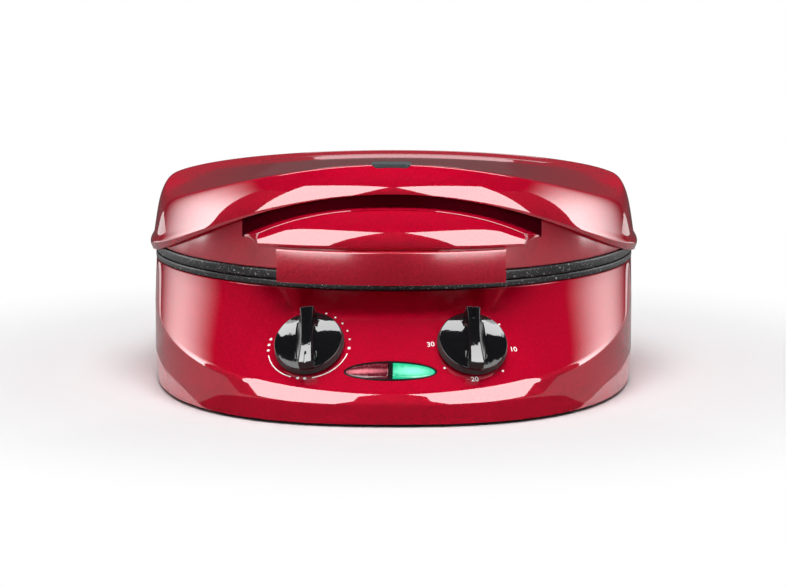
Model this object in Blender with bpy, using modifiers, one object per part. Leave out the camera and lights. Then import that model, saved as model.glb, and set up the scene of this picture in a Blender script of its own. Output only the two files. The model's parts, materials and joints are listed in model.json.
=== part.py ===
"""Electric pie maker: a round countertop cooker with a hinged lid and two dials.

Lengths are in metres. The pan axis is vertical, the front of the cooker faces -Y,
and the table is at Z = 0. Angles about the pan axis start at the front and grow
towards +X.
"""
import math

import bmesh
import bpy
import numpy as np
from mathutils import Matrix, Vector

# Clearances
seat_gap = 0.0003
overrun = 0.004

# Round parts and lofts: how many facets go round
pan_facets = 40
loft_facets = 40
knob_facets = 24
tray_facets = 24
small_facets = 12
fine_facets = 10
screw_facets = 8
facet_deg = 30.0
crisp_deg = 24.0

# Plates
pan_radius = 0.1560
rim_width = 0.0215
lower_rim_height = 0.0043
upper_rim_height = 0.0070
plates_gap = 0.0004
lower_pan_depth = 0.0210
upper_pan_depth = 0.0140
plate_wall = 0.0031
pan_corner = 0.0040
rim_round = 0.0012

# Base housing
base_height = 0.0867
base_clearance = 0.0020
panel_run = 0.0605
base_side_tuck = 0.0005
base_outline_power = 2.45
base_draft = 0.0012
fold_height = 0.0165
crease_front_height = 0.0245
crease_front_inset = 0.0025
crease_rise_share = 0.19
crease_round = 0.0030
crease_room_share = 0.45
rear_panel_height = 0.0060
shell_wall = 0.0020
ledge_width = 0.0125
edge_round = 0.0015

# Lid housing
visor_overhang = 0.0028
visor_lean = 0.0140
visor_edge_rise = 0.0635
visor_rise = 0.0835
visor_ridge_fall = 0.0422
margin_lean = 0.0097
margin_rise = 0.0510
margin_step = 0.0035
lid_round = 0.0035
lid_lip = 0.0018
lid_lip_tuck = 0.0008
lid_lip_share = 0.27
lid_tuck_share = 0.10
lid_wall = 0.0021
lid_boss_radius = 0.0042
saddle_start_deg = 70.0
saddle_end_deg = 106.0

# Lid skirt
skirt_cover = 0.0080
skirt_least_height = 0.0060
skirt_lean_share = 0.085
skirt_wall = 0.0020
skirt_seat_width = 0.0130

# Handle
handle_depth = 0.0228
handle_half_width = 0.1065
handle_tip = 0.0100
handle_under_visor = 0.0097
handle_dome_height = 0.0263
handle_crest_fall = 0.0218
dome_shares = (0.06, 0.25, 0.45, 0.65, 0.85)
dome_front_power = 1.15
handle_plate_height = 0.0240
handle_plate_inset = 0.0239
handle_plate_wall = 0.0030
handle_split = 0.0018
handle_web_deg = 0.9
grip_screw_degs = (-15, 15)
back_screw_facets = 2

# Rest pad on the visor's ridge
pad_width = 0.0282
pad_depth = 0.0100
pad_proud = 0.0030
pad_below_ridge = 0.0022
pad_front_proud = 0.0020

# Hinge
hinge_stand = 0.0150
open_rest_gap = 0.0006
knuckle_radius = 0.0075
pin_radius = 0.0025
lid_knuckle_half_width = 0.0460
ear_thickness = 0.0090
hinge_side_gap = 0.0006
hinge_flange_wall = 0.0045
hinge_flange_drop = 0.0067
hinge_flange_height = 0.0300
lid_flange_shares = (0.08, 0.16, 0.27, 0.50, 0.62)
pin_head_radius = 0.0042
pin_head_thickness = 0.0020
hinge_screw_degs = (9, -9)

# Controls
dial_half_spacing = 0.0567
dial_share = 0.576
timer_zero_deg = 7.0
knob_radius = 0.0250
knob_taper = 0.0008
knob_height = 0.0085
knob_lift = 0.0010
knob_dome = 0.0012
knob_recess_gap = 0.0020
knob_recess_above_bush = 0.0016
grip_end_inset = 0.0004
grip_half_width = 0.0048
grip_waist = 0.0011
grip_fillet = 0.0040
grip_height = 0.0062
grip_dip = 0.0008
grip_side_shares = (0.0, 0.35, 0.80, 1.0)
shaft_radius = 0.0030
shaft_sink = 0.0100
shaft_in_knob = 0.0085
bush_wall = 0.0015
bush_height = 0.0032
nut_wall = 0.0040
nut_height = 0.0025
collar_wall = 0.0025
collar_height = 0.0035
panel_bow = 0.0006
thermostat_radius = 0.0170
thermostat_depth = 0.0200
timer_half_width = 0.0190
timer_depth = 0.0190

# Indicator
lens_half_length = 0.0313
lens_half_height = 0.0069
indicator_share = 0.79
lens_crown = 0.0016
lens_ring_shares = (0.85, 0.50)
lens_rise_shares = (0.60, 1.0)
lens_sag = 0.0011
lens_split = 0.0018
frame_width = 0.0011
frame_flange = 0.0030
frame_flange_wall = 0.0015
frame_depth = 0.0045
lens_skirt = 0.0030
lamp_radius = 0.0030
lamp_length = 0.0140
lamp_tip_share = 0.70
lamp_place_share = 0.52
lamp_gap = 0.0020
holder_wall = 0.0020

# Heating
element_inset = 0.0410
element_tube = 0.0032
element_gap_deg = 16.0
element_tail = 0.0220
tail_hole_gap = 0.0020
tray_wall = 0.0010
tray_corner = 0.0060
tray_inset = 0.0040
lower_tray_depth = 0.0330
lower_tray_gap = 0.0024
lower_tray_lean = 0.0020
upper_tray_depth = 0.0160
upper_tray_mouth_gap = 0.0021
upper_tray_lean = 0.0022
sensor_radius = 0.0026
sensor_length = 0.0450
sensor_side_place = 0.0300
sensor_route_shares = (0.85, 0.70)
capillary_radius = 0.0011
fuse_radius = 0.0024
fuse_length = 0.0160
fuse_place = 0.0600
fuse_clip_width = 0.0080
fuse_clip_wall = 0.0010

# Underside
cover_height = 0.0040
cover_wall = 0.0025
foot_radius = 0.0090
foot_peg_radius = 0.0022
foot_front_deg = 34.8
foot_front_inset = 0.0267
foot_rear_deg = 137.5
foot_rear_inset = 0.0142
vent_length = 0.0320
vent_width = 0.0032
vent_pitch = 0.0110
vent_column_gap = 0.0160
vent_rows = 5
boss_radius = 0.0048
boss_front_facets = 5
boss_rear_facets = 16
boss_height = 0.0120
terminal_length = 0.0340
terminal_width = 0.0180
terminal_height = 0.0140
terminal_inset = 0.0500

# Cord inlet
grommet_facets = 16
grommet_height = 0.0320
grommet_hole_radius = 0.0068
grommet_flange = 0.0022
grommet_lip = 0.0018
grommet_bore_radius = 0.0038

# Fasteners
screw_radius = 0.0015
screw_head_radius = 0.0031
screw_head_height = 0.0016
screw_hole_gap = 0.0004
screw_bite_share = 0.60
pilot_share = 0.70
lower_screw_degs = (-45, 45, -135, 135)
lid_screw_degs = (-62, 62, -118, 118)

# Radii and heights worked out from the sizes above
rim_radius = pan_radius + rim_width
rim_outer = rim_radius - seat_gap
base_half_width = rim_radius - base_side_tuck
base_front_reach = rim_radius + panel_run
skirt_radius = rim_radius - seat_gap
visor_radius = skirt_radius + visor_overhang
visor_ridge_radius = visor_radius - visor_lean
lid_margin_radius = visor_radius - margin_lean
handle_radius = skirt_radius + handle_depth
hinge_distance = visor_radius + hinge_stand
rear_reach = hinge_distance + knuckle_radius
pan_back = (base_front_reach - rear_reach) / 2

seam_height = base_height + seat_gap + lower_rim_height
upper_rim_bottom = seam_height + plates_gap
upper_rim_top = upper_rim_bottom + upper_rim_height
skirt_bottom = upper_rim_top + seat_gap
lid_edge_height = upper_rim_bottom + seat_gap
lid_margin_height = lid_edge_height + margin_rise
deck_rear_height = lid_margin_height - margin_step
visor_ridge_height = lid_edge_height + visor_rise
handle_crest_height = lid_edge_height + visor_edge_rise - handle_under_visor
handle_bottom_height = handle_crest_height - handle_dome_height
pad_top = visor_ridge_height + pad_proud
hinge_height = (pad_top + open_rest_gap) / 2


# Scene, collections and materials

for old in list(bpy.data.objects):
    bpy.data.objects.remove(old, do_unlink=True)

parts = bpy.data.collections.new("pie_maker")
cutters = bpy.data.collections.new("cutters")
bpy.context.scene.collection.children.link(parts)
bpy.context.scene.collection.children.link(cutters)


def material(name, colour, roughness, metallic=0.0, coat=0.0):
    """A Principled material; colour is linear red, green and blue."""
    made = bpy.data.materials.new(name)
    made.use_nodes = True
    shader = made.node_tree.nodes["Principled BSDF"]
    shader.inputs["Base Color"].default_value = (*colour, 1.0)
    shader.inputs["Roughness"].default_value = roughness
    shader.inputs["Metallic"].default_value = metallic
    shader.inputs["Coat Weight"].default_value = coat
    made.diffuse_color = (*colour, 1.0)
    return made


lacquer = material("red lacquer", (0.55, 0.0, 0.03), 0.30, 0.4, 1.0)
coating = material("speckled coating", (0.02, 0.02, 0.022), 0.35)
gloss_black = material("gloss black", (0.012, 0.012, 0.013), 0.12)
dull_black = material("dull black", (0.025, 0.025, 0.027), 0.55)
rubber = material("grey rubber", (0.04, 0.05, 0.055), 0.75)
red_glass = material("red lens", (0.35, 0.01, 0.02), 0.08)
green_glass = material("green lens", (0.03, 0.60, 0.32), 0.08)
steel = material("bright steel", (0.60, 0.60, 0.62), 0.30, 1.0)
sheet_metal = material("aluminised sheet", (0.62, 0.62, 0.63), 0.40, 1.0)
ceramic = material("white ceramic", (0.75, 0.73, 0.68), 0.60)
lamp_glass = material("lamp glass", (0.80, 0.55, 0.40), 0.10)
black_steel = material("dark element", (0.10, 0.10, 0.10), 0.50, 0.8)


# Mesh tools

def empty(name, parent, matrix):
    """An empty that carries an axis or a local frame."""
    made = bpy.data.objects.new(name, None)
    parts.objects.link(made)
    made.parent = parent
    made.matrix_local = matrix
    return made


def added(name, mesh, skin, parent, home=None, sharp_deg=facet_deg):
    """Links a mesh as a part, or as a hidden cutter where it has no material."""
    made = bpy.data.objects.new(name, mesh)
    made.parent = parent
    if home is not None:
        made.matrix_local = home
    if skin is None:
        cutters.objects.link(made)
        made.hide_render = True
        made.display_type = "WIRE"
        return made
    parts.objects.link(made)
    mesh.materials.append(skin)
    mesh.shade_smooth()
    mesh.set_sharp_from_angle(angle=math.radians(sharp_deg))
    return made


def mesh_of(name, points, faces):
    """A mesh with its faces turned outwards."""
    mesh = bpy.data.meshes.new(name)
    mesh.from_pydata([tuple(p) for p in points], [], faces)
    mesh.update()
    return mesh


def sheet(name, rows, centre=None):
    """An open surface through rings of points, with a fan to the centre point."""
    rings, count = rows.shape[:2]
    points = list(rows.reshape(-1, 3))
    faces = []
    for i in range(rings - 1):
        for j in range(count):
            k = (j + 1) % count
            faces.append((i * count + j, i * count + k, (i + 1) * count + k, (i + 1) * count + j))
    if centre is not None:
        points.append(centre)
        last = (rings - 1) * count
        for j in range(count):
            faces.append((last + j, last + (j + 1) % count, rings * count))
    return mesh_of(name, points, faces)


def lofted(name, sections):
    """A closed solid through equal loops of points, with flat ends."""
    sections = np.asarray(sections)
    rings, count = sections.shape[:2]
    mesh = sheet(name, sections)
    work = bmesh.new()
    work.from_mesh(mesh)
    work.verts.ensure_lookup_table()
    work.faces.new([work.verts[j] for j in reversed(range(count))])
    work.faces.new([work.verts[(rings - 1) * count + j] for j in range(count)])
    bmesh.ops.recalc_face_normals(work, faces=work.faces)
    work.to_mesh(mesh)
    work.free()
    return mesh


def prism(name, outline, low, high):
    """A flat outline in XY carried from one height to another."""
    outline = np.asarray(outline)
    flat = np.zeros((len(outline), 1))
    return lofted(name, [np.hstack([outline, flat + low]), np.hstack([outline, flat + high])])


def turned(name, profile, skin, parent, home=None, facets=pan_facets, closed=False):
    """A profile of (radius, height) turned about Z by a Screw modifier."""
    points = [(radius, 0.0, height) for radius, height in profile]
    edges = [(i, i + 1) for i in range(len(points) - 1)]
    if closed:
        edges.append((len(points) - 1, 0))
    mesh = bpy.data.meshes.new(name)
    mesh.from_pydata(points, edges, [])
    return spun(added(name, mesh, skin, parent, home), facets)


def spun(made, facets):
    """Turns an object's profile about its own Z."""
    screw = made.modifiers.new("turn", "SCREW")
    screw.axis = "Z"
    screw.angle = math.tau
    screw.steps = facets
    screw.render_steps = facets
    screw.use_merge_vertices = True
    screw.merge_threshold = 0.00001
    screw.use_smooth_shade = True
    return made


def tube(name, path, radius, skin, parent, home=None, thick=None):
    """A round wire or tube along a list of points, with a share of its radius at each."""
    curve = bpy.data.curves.new(name, "CURVE")
    curve.dimensions = "3D"
    curve.bevel_depth = radius
    curve.bevel_resolution = 1
    curve.use_fill_caps = True
    line = curve.splines.new("POLY")
    line.points.add(len(path) - 1)
    for point, place, share in zip(line.points, path, thick or [1.0] * len(path)):
        point.co = (*place, 1.0)
        point.radius = share
    curve.materials.append(skin)
    made = bpy.data.objects.new(name, curve)
    parts.objects.link(made)
    made.parent = parent
    if home is not None:
        made.matrix_local = home
    return made


def rods(name, places, direction, radius, low, high, facets=screw_facets):
    """Round bars along one direction at each place, as one mesh of separate bodies."""
    work = bmesh.new()
    for place, axis in zip(places, direction):
        turn = Vector((0, 0, 1)).rotation_difference(Vector(axis)).to_matrix().to_4x4()
        middle = Matrix.Translation(Vector((0, 0, (low + high) / 2)))
        bmesh.ops.create_cone(
            work,
            cap_ends=True,
            segments=facets,
            radius1=radius,
            radius2=radius,
            depth=high - low,
            matrix=Matrix.Translation(Vector(place)) @ turn @ middle,
        )
    mesh = bpy.data.meshes.new(name)
    work.to_mesh(mesh)
    work.free()
    return mesh


def boolean(target, other, operation):
    """Cuts or joins with another object, which stays hidden."""
    step = target.modifiers.new(other.name, "BOOLEAN")
    step.operation = operation
    step.solver = "EXACT"
    step.object = other


def helper(target, name, mesh, frame):
    """A hidden cutter that follows its target, or lies in a frame of its own."""
    home = target.matrix_basis.copy() if frame is None else None
    return added(name, mesh, None, target.parent if frame is None else frame, home)


def cut(target, name, mesh, frame=None):
    boolean(target, helper(target, name, mesh, frame), "DIFFERENCE")


def join(target, name, mesh, frame=None):
    boolean(target, helper(target, name, mesh, frame), "UNION")


def facing(place, way):
    """A frame at a place whose Z runs along a direction."""
    turn = Vector((0, 0, 1)).rotation_difference(Vector(way)).to_matrix().to_4x4()
    return Matrix.Translation(place) @ turn


def screws(name, labels, places, ways, shank, parent, home, tall=None):
    """Screws with the undersides of their heads at the places and their shanks along the ways."""
    tall = tall or screw_head_height
    profile = bpy.data.meshes.new(name)
    line = [
        (0, shank),
        (screw_radius, shank),
        (screw_radius, 0),
        (screw_head_radius, 0),
        (screw_head_radius, -tall),
        (0, -tall),
    ]
    edges = [(i, i + 1) for i in range(len(line) - 1)]
    profile.from_pydata([(radius, 0, height) for radius, height in line], edges, [])
    profile.materials.append(steel)
    for label, place, way in zip(labels, places, ways):
        made = bpy.data.objects.new(name + "_" + label, profile)
        parts.objects.link(made)
        made.parent = parent
        here = facing(place, way)
        made.matrix_local = here if home is None else home @ here
        spun(made, screw_facets)


def around_pan(radius, angle, height):
    """The point at an angle about the pan axis, where 0 is the front."""
    return Vector((radius * math.sin(angle), -radius * math.cos(angle), height))


def outwards_at(angle):
    return Vector((math.sin(angle), -math.cos(angle), 0.0))


def smooth_step(value):
    value = np.clip(value, 0.0, 1.0)
    return value * value * (3 - 2 * value)


root = empty("cooker_frame", None, Matrix.Translation(Vector((0, pan_back, 0))))
lid_axis_place = Vector((0, hinge_distance, hinge_height))
lid_pivot = empty("lid_axis", root, Matrix.Translation(lid_axis_place))
lid_home = Matrix.Translation(-lid_axis_place)
turns = np.arange(loft_facets) * math.tau / loft_facets


# Base housing: a shell lofted from a round rim to a fuller foot outline

def base_outline(angle, inset=0.0, front_inset=0.0):
    """Plan of the foot: a superellipse in front of the pan axis, a circle behind it."""
    side = base_half_width - inset
    front = base_front_reach - inset - front_inset
    power = 2 / base_outline_power
    across, along = np.sin(angle), np.cos(angle)
    ahead = along > 0
    x = np.where(ahead, side * np.sign(across) * np.abs(across) ** power, side * across)
    forward = np.where(ahead, front * np.abs(along) ** power, side * along)
    return x, forward


def crease_height(forward):
    """The crease lies in a plane that rises to the rear, and stays below the rim."""
    rise = crease_front_height + crease_rise_share * (base_front_reach - crease_front_inset - forward)
    top = base_height - rear_panel_height
    return top - crease_round * np.logaddexp(0, (top - rise) / crease_round)


def base_crease(angle):
    x, forward = base_outline(angle, 0.0, crease_front_inset)
    return x, forward, crease_height(forward)


def panel_point(angle, share):
    """A point of the sloped panel, from the rim (0) down to the crease (1)."""
    x, forward, height = base_crease(np.asarray(angle))
    top = np.array([rim_outer * np.sin(angle), rim_outer * np.cos(angle), base_height])
    low = np.array([x, forward, height])
    point = top + (low - top) * share
    return Vector((float(point[0]), -float(point[1]), float(point[2])))


def panel_frame(angle, share):
    """A frame on the panel: Z leaves the surface, Y points up the slope."""
    step = 0.01
    across = panel_point(angle + step, share) - panel_point(angle - step, share)
    down = panel_point(angle, share + step) - panel_point(angle, share - step)
    normal = down.cross(across).normalized()
    if normal.z < 0:
        normal.negate()
    up = (Vector((0, 0, 1)) - normal * normal.z).normalized()
    right = up.cross(normal)
    turn = Matrix((right, up, normal)).transposed().to_4x4()
    return Matrix.Translation(panel_point(angle, share)) @ turn


def base_rows():
    """Rings of the housing's outside, from the foot up to the ledge under the plate."""
    def ring(x, forward, height):
        return np.stack([x, -forward, np.broadcast_to(height, np.shape(x))], axis=1)

    bottom = ring(*base_outline(turns, base_draft), base_clearance)
    fold = ring(*base_outline(turns), fold_height)
    crease = ring(*base_crease(turns))
    rim = ring(rim_outer * np.sin(turns), rim_outer * np.cos(turns), base_height)

    def towards(start, end, distance):
        way = end - start
        length = np.linalg.norm(way, axis=1, keepdims=True)
        return start + way * np.minimum(distance / length, crease_room_share)

    before = towards(crease, fold, crease_round)
    after = towards(crease, rim, crease_round)
    below_rim = towards(rim, after, edge_round)
    inner = rim_outer - edge_round
    on_rim = ring(inner * np.sin(turns), inner * np.cos(turns), base_height)
    ledge = rim_outer - ledge_width
    in_ledge = ring(ledge * np.sin(turns), ledge * np.cos(turns), base_height)
    return np.array([bottom, fold, before, after, below_rim, on_rim, in_ledge])


base_housing = added("base_housing", sheet("base_housing", base_rows()), lacquer, root, None, crisp_deg)
shell = base_housing.modifiers.new("wall", "SOLIDIFY")
shell.thickness = shell_wall
shell.offset = -1.0
shell.use_even_offset = True

def dial_angle():
    """The angle at which the panel's middle line stands half the dials' spacing from the centre."""
    low, high = 0.0, math.pi / 2
    for _ in range(50):
        middle = (low + high) / 2
        if panel_point(middle, dial_share).x < dial_half_spacing:
            low = middle
        else:
            high = middle
    return low


dials = {
    "thermostat": panel_frame(-dial_angle(), dial_share),
    "timer": panel_frame(dial_angle(), dial_share),
}
bush_radius = shaft_radius + bush_wall
hole = bush_radius + screw_hole_gap
for dial_name, dial in dials.items():
    spot = dial.translation
    way = dial.to_3x3().col[2]
    drill = rods(dial_name + "_hole", [spot], [way], hole, -shell_wall - overrun, overrun, small_facets)
    cut(base_housing, dial_name + "_hole", drill)


def eye(grow=0.0, count=20, start=-1.0, end=1.0):
    """The indicator's outline: a full ellipse, or the stretch of it between two shares."""
    length = lens_half_length + grow
    height = lens_half_height + grow
    around = np.linspace(math.acos(-start), math.acos(-end), count // 2 + 1)
    upper = np.stack([-length * np.cos(around), height * np.sin(around)], axis=1)
    keep = upper[:, 1] > height / 1000
    lower = upper[keep] * [1, -1]
    return np.vstack([upper[::-1], lower])


indicator = empty("indicator_frame", root, panel_frame(0.0, indicator_share))
opening = prism("indicator_opening", eye(frame_width + seat_gap), -frame_depth - overrun, overrun)
cut(base_housing, "indicator_opening", opening, indicator)

# Screw bosses for the bottom cover stand against the wall
corners = ("front_left", "front_right", "rear_left", "rear_right")
facet_turn = math.tau / loft_facets
boss_facets = (-boss_front_facets, boss_front_facets, -boss_rear_facets, boss_rear_facets)
boss_turns = [facets * facet_turn for facets in boss_facets]
boss_inset = shell_wall + base_draft + screw_head_radius + seat_gap
boss_x, boss_forward = base_outline(np.array(boss_turns), boss_inset)
boss_bottom = cover_height + cover_wall + seat_gap
boss_places = [Vector((x, -f, boss_bottom)) for x, f in zip(boss_x, boss_forward)]
upwards = [Vector((0, 0, 1))] * 4
join(base_housing, "cover_bosses", rods("cover_bosses", boss_places, upwards, boss_radius, 0, boss_height))
pilot = screw_radius + screw_hole_gap
drill = rods("boss_holes", boss_places, upwards, pilot, -overrun, boss_height * pilot_share)
cut(base_housing, "boss_holes", drill)

# The cord leaves through a grommet in the middle of one of the rear wall's facets
grommet_angle = (grommet_facets + 1 / 2) * facet_turn
flat_radius = base_half_width * math.cos(facet_turn / 2)
grommet_place = around_pan(flat_radius - shell_wall / 2, grommet_angle, grommet_height)
grommet_way = outwards_at(grommet_angle)
drill = rods(
    "grommet_hole", [grommet_place], [grommet_way], grommet_hole_radius, -overrun, overrun, small_facets
)
cut(base_housing, "grommet_hole", drill)

grommet_neck = grommet_hole_radius - seat_gap
half_wall = shell_wall / 2 + seat_gap
grommet_flange_radius = grommet_hole_radius + grommet_flange
turned(
    "cord_grommet",
    [
        (grommet_bore_radius, half_wall + grommet_lip),
        (grommet_flange_radius, half_wall + grommet_lip),
        (grommet_flange_radius, half_wall),
        (grommet_neck, half_wall),
        (grommet_neck, -half_wall),
        (grommet_flange_radius, -half_wall),
        (grommet_flange_radius, -half_wall - grommet_lip),
        (grommet_bore_radius, -half_wall - grommet_lip),
    ],
    dull_black,
    empty("grommet_frame", root, facing(grommet_place, grommet_way)),
    None,
    small_facets,
    True,
)


# Bottom cover, with vents, feet and screws

cover_inset = shell_wall + base_draft + seat_gap
cover_x, cover_forward = base_outline(turns, cover_inset)
cover_outline = np.stack([cover_x, -cover_forward], axis=1)
cover_top = cover_height + cover_wall
cover_mesh = prism("bottom_cover", cover_outline, cover_height, cover_top)
cover = added("bottom_cover", cover_mesh, dull_black, root)


def slots(name, places, length, width, low, high):
    """Straight slots along X, each a box of its own."""
    work = bmesh.new()
    for x, y in places:
        size = Matrix.Diagonal((length, width, high - low, 1.0))
        bmesh.ops.create_cube(work, size=1.0, matrix=Matrix.Translation((x, y, (low + high) / 2)) @ size)
    mesh = bpy.data.meshes.new(name)
    work.to_mesh(mesh)
    work.free()
    return mesh


vent_places = []
vent_column = (vent_length + vent_column_gap) / 2
for i in range(vent_rows):
    for side in (-1, 1):
        vent_places.append((side * vent_column, (i - (vent_rows - 1) / 2) * vent_pitch))
vents = slots("vents", vent_places, vent_length, vent_width, cover_height - overrun, cover_top + overrun)
cut(cover, "vents", vents)
cover_places = [Vector((p.x, p.y, cover_height - seat_gap)) for p in boss_places]
drill = rods("cover_holes", cover_places, upwards, pilot, -overrun, cover_wall + overrun)
cut(cover, "cover_holes", drill)
shank = cover_wall + 2 * seat_gap + boss_height * screw_bite_share
screws("cover_screw", corners, cover_places, upwards, shank, root, None)

foot_places = []
for degrees, inset in ((foot_front_deg, foot_front_inset), (foot_rear_deg, foot_rear_inset)):
    for side in (-1, 1):
        x, forward = base_outline(np.array(side * math.radians(degrees)), inset)
        foot_places.append(Vector((float(x), -float(forward), 0)))
foot_top = cover_height - seat_gap
foot_profile = [
    (0, cover_top),
    (foot_peg_radius, cover_top),
    (foot_peg_radius, foot_top),
    (foot_radius, foot_top),
    (foot_radius, foot_top / 3),
    (foot_radius - foot_top / 3, 0),
    (0, 0),
]
peg_hole = foot_peg_radius + seat_gap
drill = rods("peg_holes", foot_places, upwards, peg_hole, foot_top - overrun, cover_top + overrun)
cut(cover, "peg_holes", drill)
for corner, place in zip(corners, foot_places):
    turned("foot_" + corner, foot_profile, rubber, root, Matrix.Translation(place), small_facets)


# Baking plates: dishes with a flange that makes the rim

pan_floor = seam_height - lower_pan_depth
pan_under = pan_floor - plate_wall
pan_outside = pan_radius + plate_wall
rim_bottom = base_height + seat_gap
lower_plate = turned(
    "lower_plate",
    [
        (0, pan_floor),
        (pan_radius - pan_corner, pan_floor),
        (pan_radius, seam_height - rim_round),
        (pan_radius + rim_round, seam_height),
        (rim_radius - rim_round, seam_height),
        (rim_radius, seam_height - rim_round),
        (rim_radius, rim_bottom),
        (pan_outside, rim_bottom),
        (pan_outside - pan_corner, pan_under),
        (0, pan_under),
    ],
    coating,
    root,
)
upper_ceiling = upper_rim_bottom + upper_pan_depth
upper_top = upper_ceiling + plate_wall
upper_plate = turned(
    "upper_plate",
    [
        (0, upper_top),
        (pan_outside - pan_corner, upper_top),
        (pan_outside, upper_rim_top),
        (rim_radius - rim_round, upper_rim_top),
        (rim_radius, upper_rim_top - rim_round),
        (rim_radius, upper_rim_bottom + rim_round),
        (rim_radius - rim_round, upper_rim_bottom),
        (pan_radius + rim_round, upper_rim_bottom),
        (pan_radius, upper_rim_bottom + rim_round),
        (pan_radius - pan_corner, upper_ceiling),
        (0, upper_ceiling),
    ],
    coating,
    lid_pivot,
    lid_home,
)


# Heat reflectors: trays behind the plates, clamped with the rims by the same screws

tray_radius = rim_radius - tray_inset


def tray(name, seat, depth, mouth_radius, floor_radius, parent, home):
    """A sheet dish whose flange lies at seat; depth is negative where the dish hangs down."""
    side = math.copysign(1.0, depth)
    far = seat + depth
    wall = side * tray_wall
    profile = [
        (0, far),
        (floor_radius - tray_corner, far),
        (floor_radius, far - side * tray_corner),
        (mouth_radius, seat + wall),
        (tray_radius, seat + wall),
        (tray_radius, seat),
        (mouth_radius - tray_wall, seat),
        (floor_radius - tray_wall, far - side * tray_corner),
        (floor_radius - tray_corner, far - wall),
        (0, far - wall),
    ]
    return turned(name, profile if depth > 0 else profile[::-1], sheet_metal, parent, home, tray_facets)


def ring_places(radius, degrees, height):
    return [around_pan(radius, math.radians(a), height) for a in degrees]


ledge_under = base_height - shell_wall - seat_gap
lower_tray_floor_radius = pan_outside + lower_tray_gap
lower_tray_mouth_radius = lower_tray_floor_radius + lower_tray_lean
lower_tray = tray(
    "lower_heat_reflector",
    ledge_under,
    -lower_tray_depth,
    lower_tray_mouth_radius,
    lower_tray_floor_radius,
    root,
    None,
)
screw_ring = (lower_tray_mouth_radius + rim_outer - shell_wall) / 2
lower_places = ring_places(screw_ring, lower_screw_degs, ledge_under - tray_wall - seat_gap)
shank = tray_wall + shell_wall + 3 * seat_gap + lower_rim_height * screw_bite_share
screws("lower_plate_screw", corners, lower_places, upwards, shank, root, None)
for target, hole_name in (
    (lower_tray, "lower_tray_holes"),
    (base_housing, "ledge_holes"),
    (lower_plate, "lower_plate_holes"),
):
    cut(target, hole_name, rods(hole_name, lower_places, upwards, pilot, -seat_gap, shank + seat_gap))

seat_top = skirt_bottom + skirt_wall
upper_tray_mouth_radius = pan_outside + upper_tray_mouth_gap
upper_tray = tray(
    "upper_heat_reflector",
    seat_top + seat_gap,
    upper_tray_depth,
    upper_tray_mouth_radius,
    upper_tray_mouth_radius - upper_tray_lean,
    lid_pivot,
    lid_home,
)


# Heating elements: open rings on the plates, their ends led through the trays

def element_path(height, tail):
    """An open ring with its two ends turned away from the plate."""
    half = math.radians(180 - element_gap_deg)
    radius = pan_radius - element_inset
    count = tray_facets - 2
    ring = [around_pan(radius, -half + 2 * half * i / (count - 1), height) for i in range(count)]
    away = Vector((0, 0, tail))
    return [ring[0] + away, *ring, ring[-1] + away]


lower_path = element_path(pan_under - seat_gap - element_tube, -element_tail)
upper_path = element_path(upper_top + seat_gap + element_tube, element_tail)
tube("lower_heating_element", lower_path, element_tube, black_steel, root)
tube("upper_heating_element", upper_path, element_tube, black_steel, lid_pivot, lid_home)
for target, hole_name, path in (
    (lower_tray, "lower_tail_holes", lower_path),
    (upper_tray, "upper_tail_holes", upper_path),
):
    ends = [path[0], path[-1]]
    drill = rods(hole_name, ends, upwards, element_tube + tail_hole_gap, -element_tail, element_tail, fine_facets)
    cut(target, hole_name, drill)


def strip(name, middle, size):
    work = bmesh.new()
    bmesh.ops.create_cube(work, size=1.0, matrix=Matrix.Translation(middle) @ Matrix.Diagonal((*size, 1.0)))
    mesh = bpy.data.meshes.new(name)
    work.to_mesh(mesh)
    work.free()
    return mesh


# The thermal fuse lies in a clip under the lower tray
tray_under = ledge_under - lower_tray_depth - seat_gap
fuse_middle = [Vector((fuse_place, 0, tray_under - fuse_clip_wall - fuse_radius))]
along_x = [Vector((1, 0, 0))]
fuse_mesh = rods("thermal_fuse", fuse_middle, along_x, fuse_radius, -fuse_length / 2, fuse_length / 2)
fuse = added("thermal_fuse", fuse_mesh, ceramic, root)
clip_height = fuse_clip_wall + fuse_radius / 2
clip_middle = Vector((fuse_place, 0, tray_under - clip_height / 2))
join(fuse, "fuse_clip", strip("fuse_clip", clip_middle, (fuse_clip_width, 4 * fuse_radius, clip_height)))


# Dials: knob, shaft, nut and switch body in the panel's own frame

def dial_axis(name, turn_deg):
    frame = dials[name] @ Matrix.Rotation(-math.radians(turn_deg), 4, "Z")
    return empty(name + "_axis", root, frame)


knob_top = knob_lift + knob_height
knob_top_radius = knob_radius - knob_taper
nut_radius = bush_radius + nut_wall
knob_recess_radius = nut_radius + knob_recess_gap
knob_recess_top = bush_height + knob_recess_above_bush
shaft_bottom = -shell_wall - shaft_sink
shaft_top = knob_lift + shaft_in_knob
shaft_hole = shaft_radius + seat_gap


def grip_sections():
    """The grip bar across the knob: waisted at its middle, with sides that spread to the disc."""
    sections = []
    foot = knob_top - knob_dome - edge_round
    for share in np.linspace(-1, 1, 7):
        middle = 1 - share * share
        wide = grip_half_width - grip_waist * middle
        spread = wide + grip_fillet * middle
        tall = knob_top + grip_height - grip_dip * middle
        along = share * (knob_top_radius - grip_end_inset)
        half_side = [(wide + (spread - wide) * (1 - rise) ** 2, rise) for rise in grip_side_shares]
        side = [(across, foot + (tall - foot) * rise) for across, rise in half_side]
        sections.append(
            [(-across, along, height) for across, height in side]
            + [(across, along, height) for across, height in reversed(side)]
        )
    return sections


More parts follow.
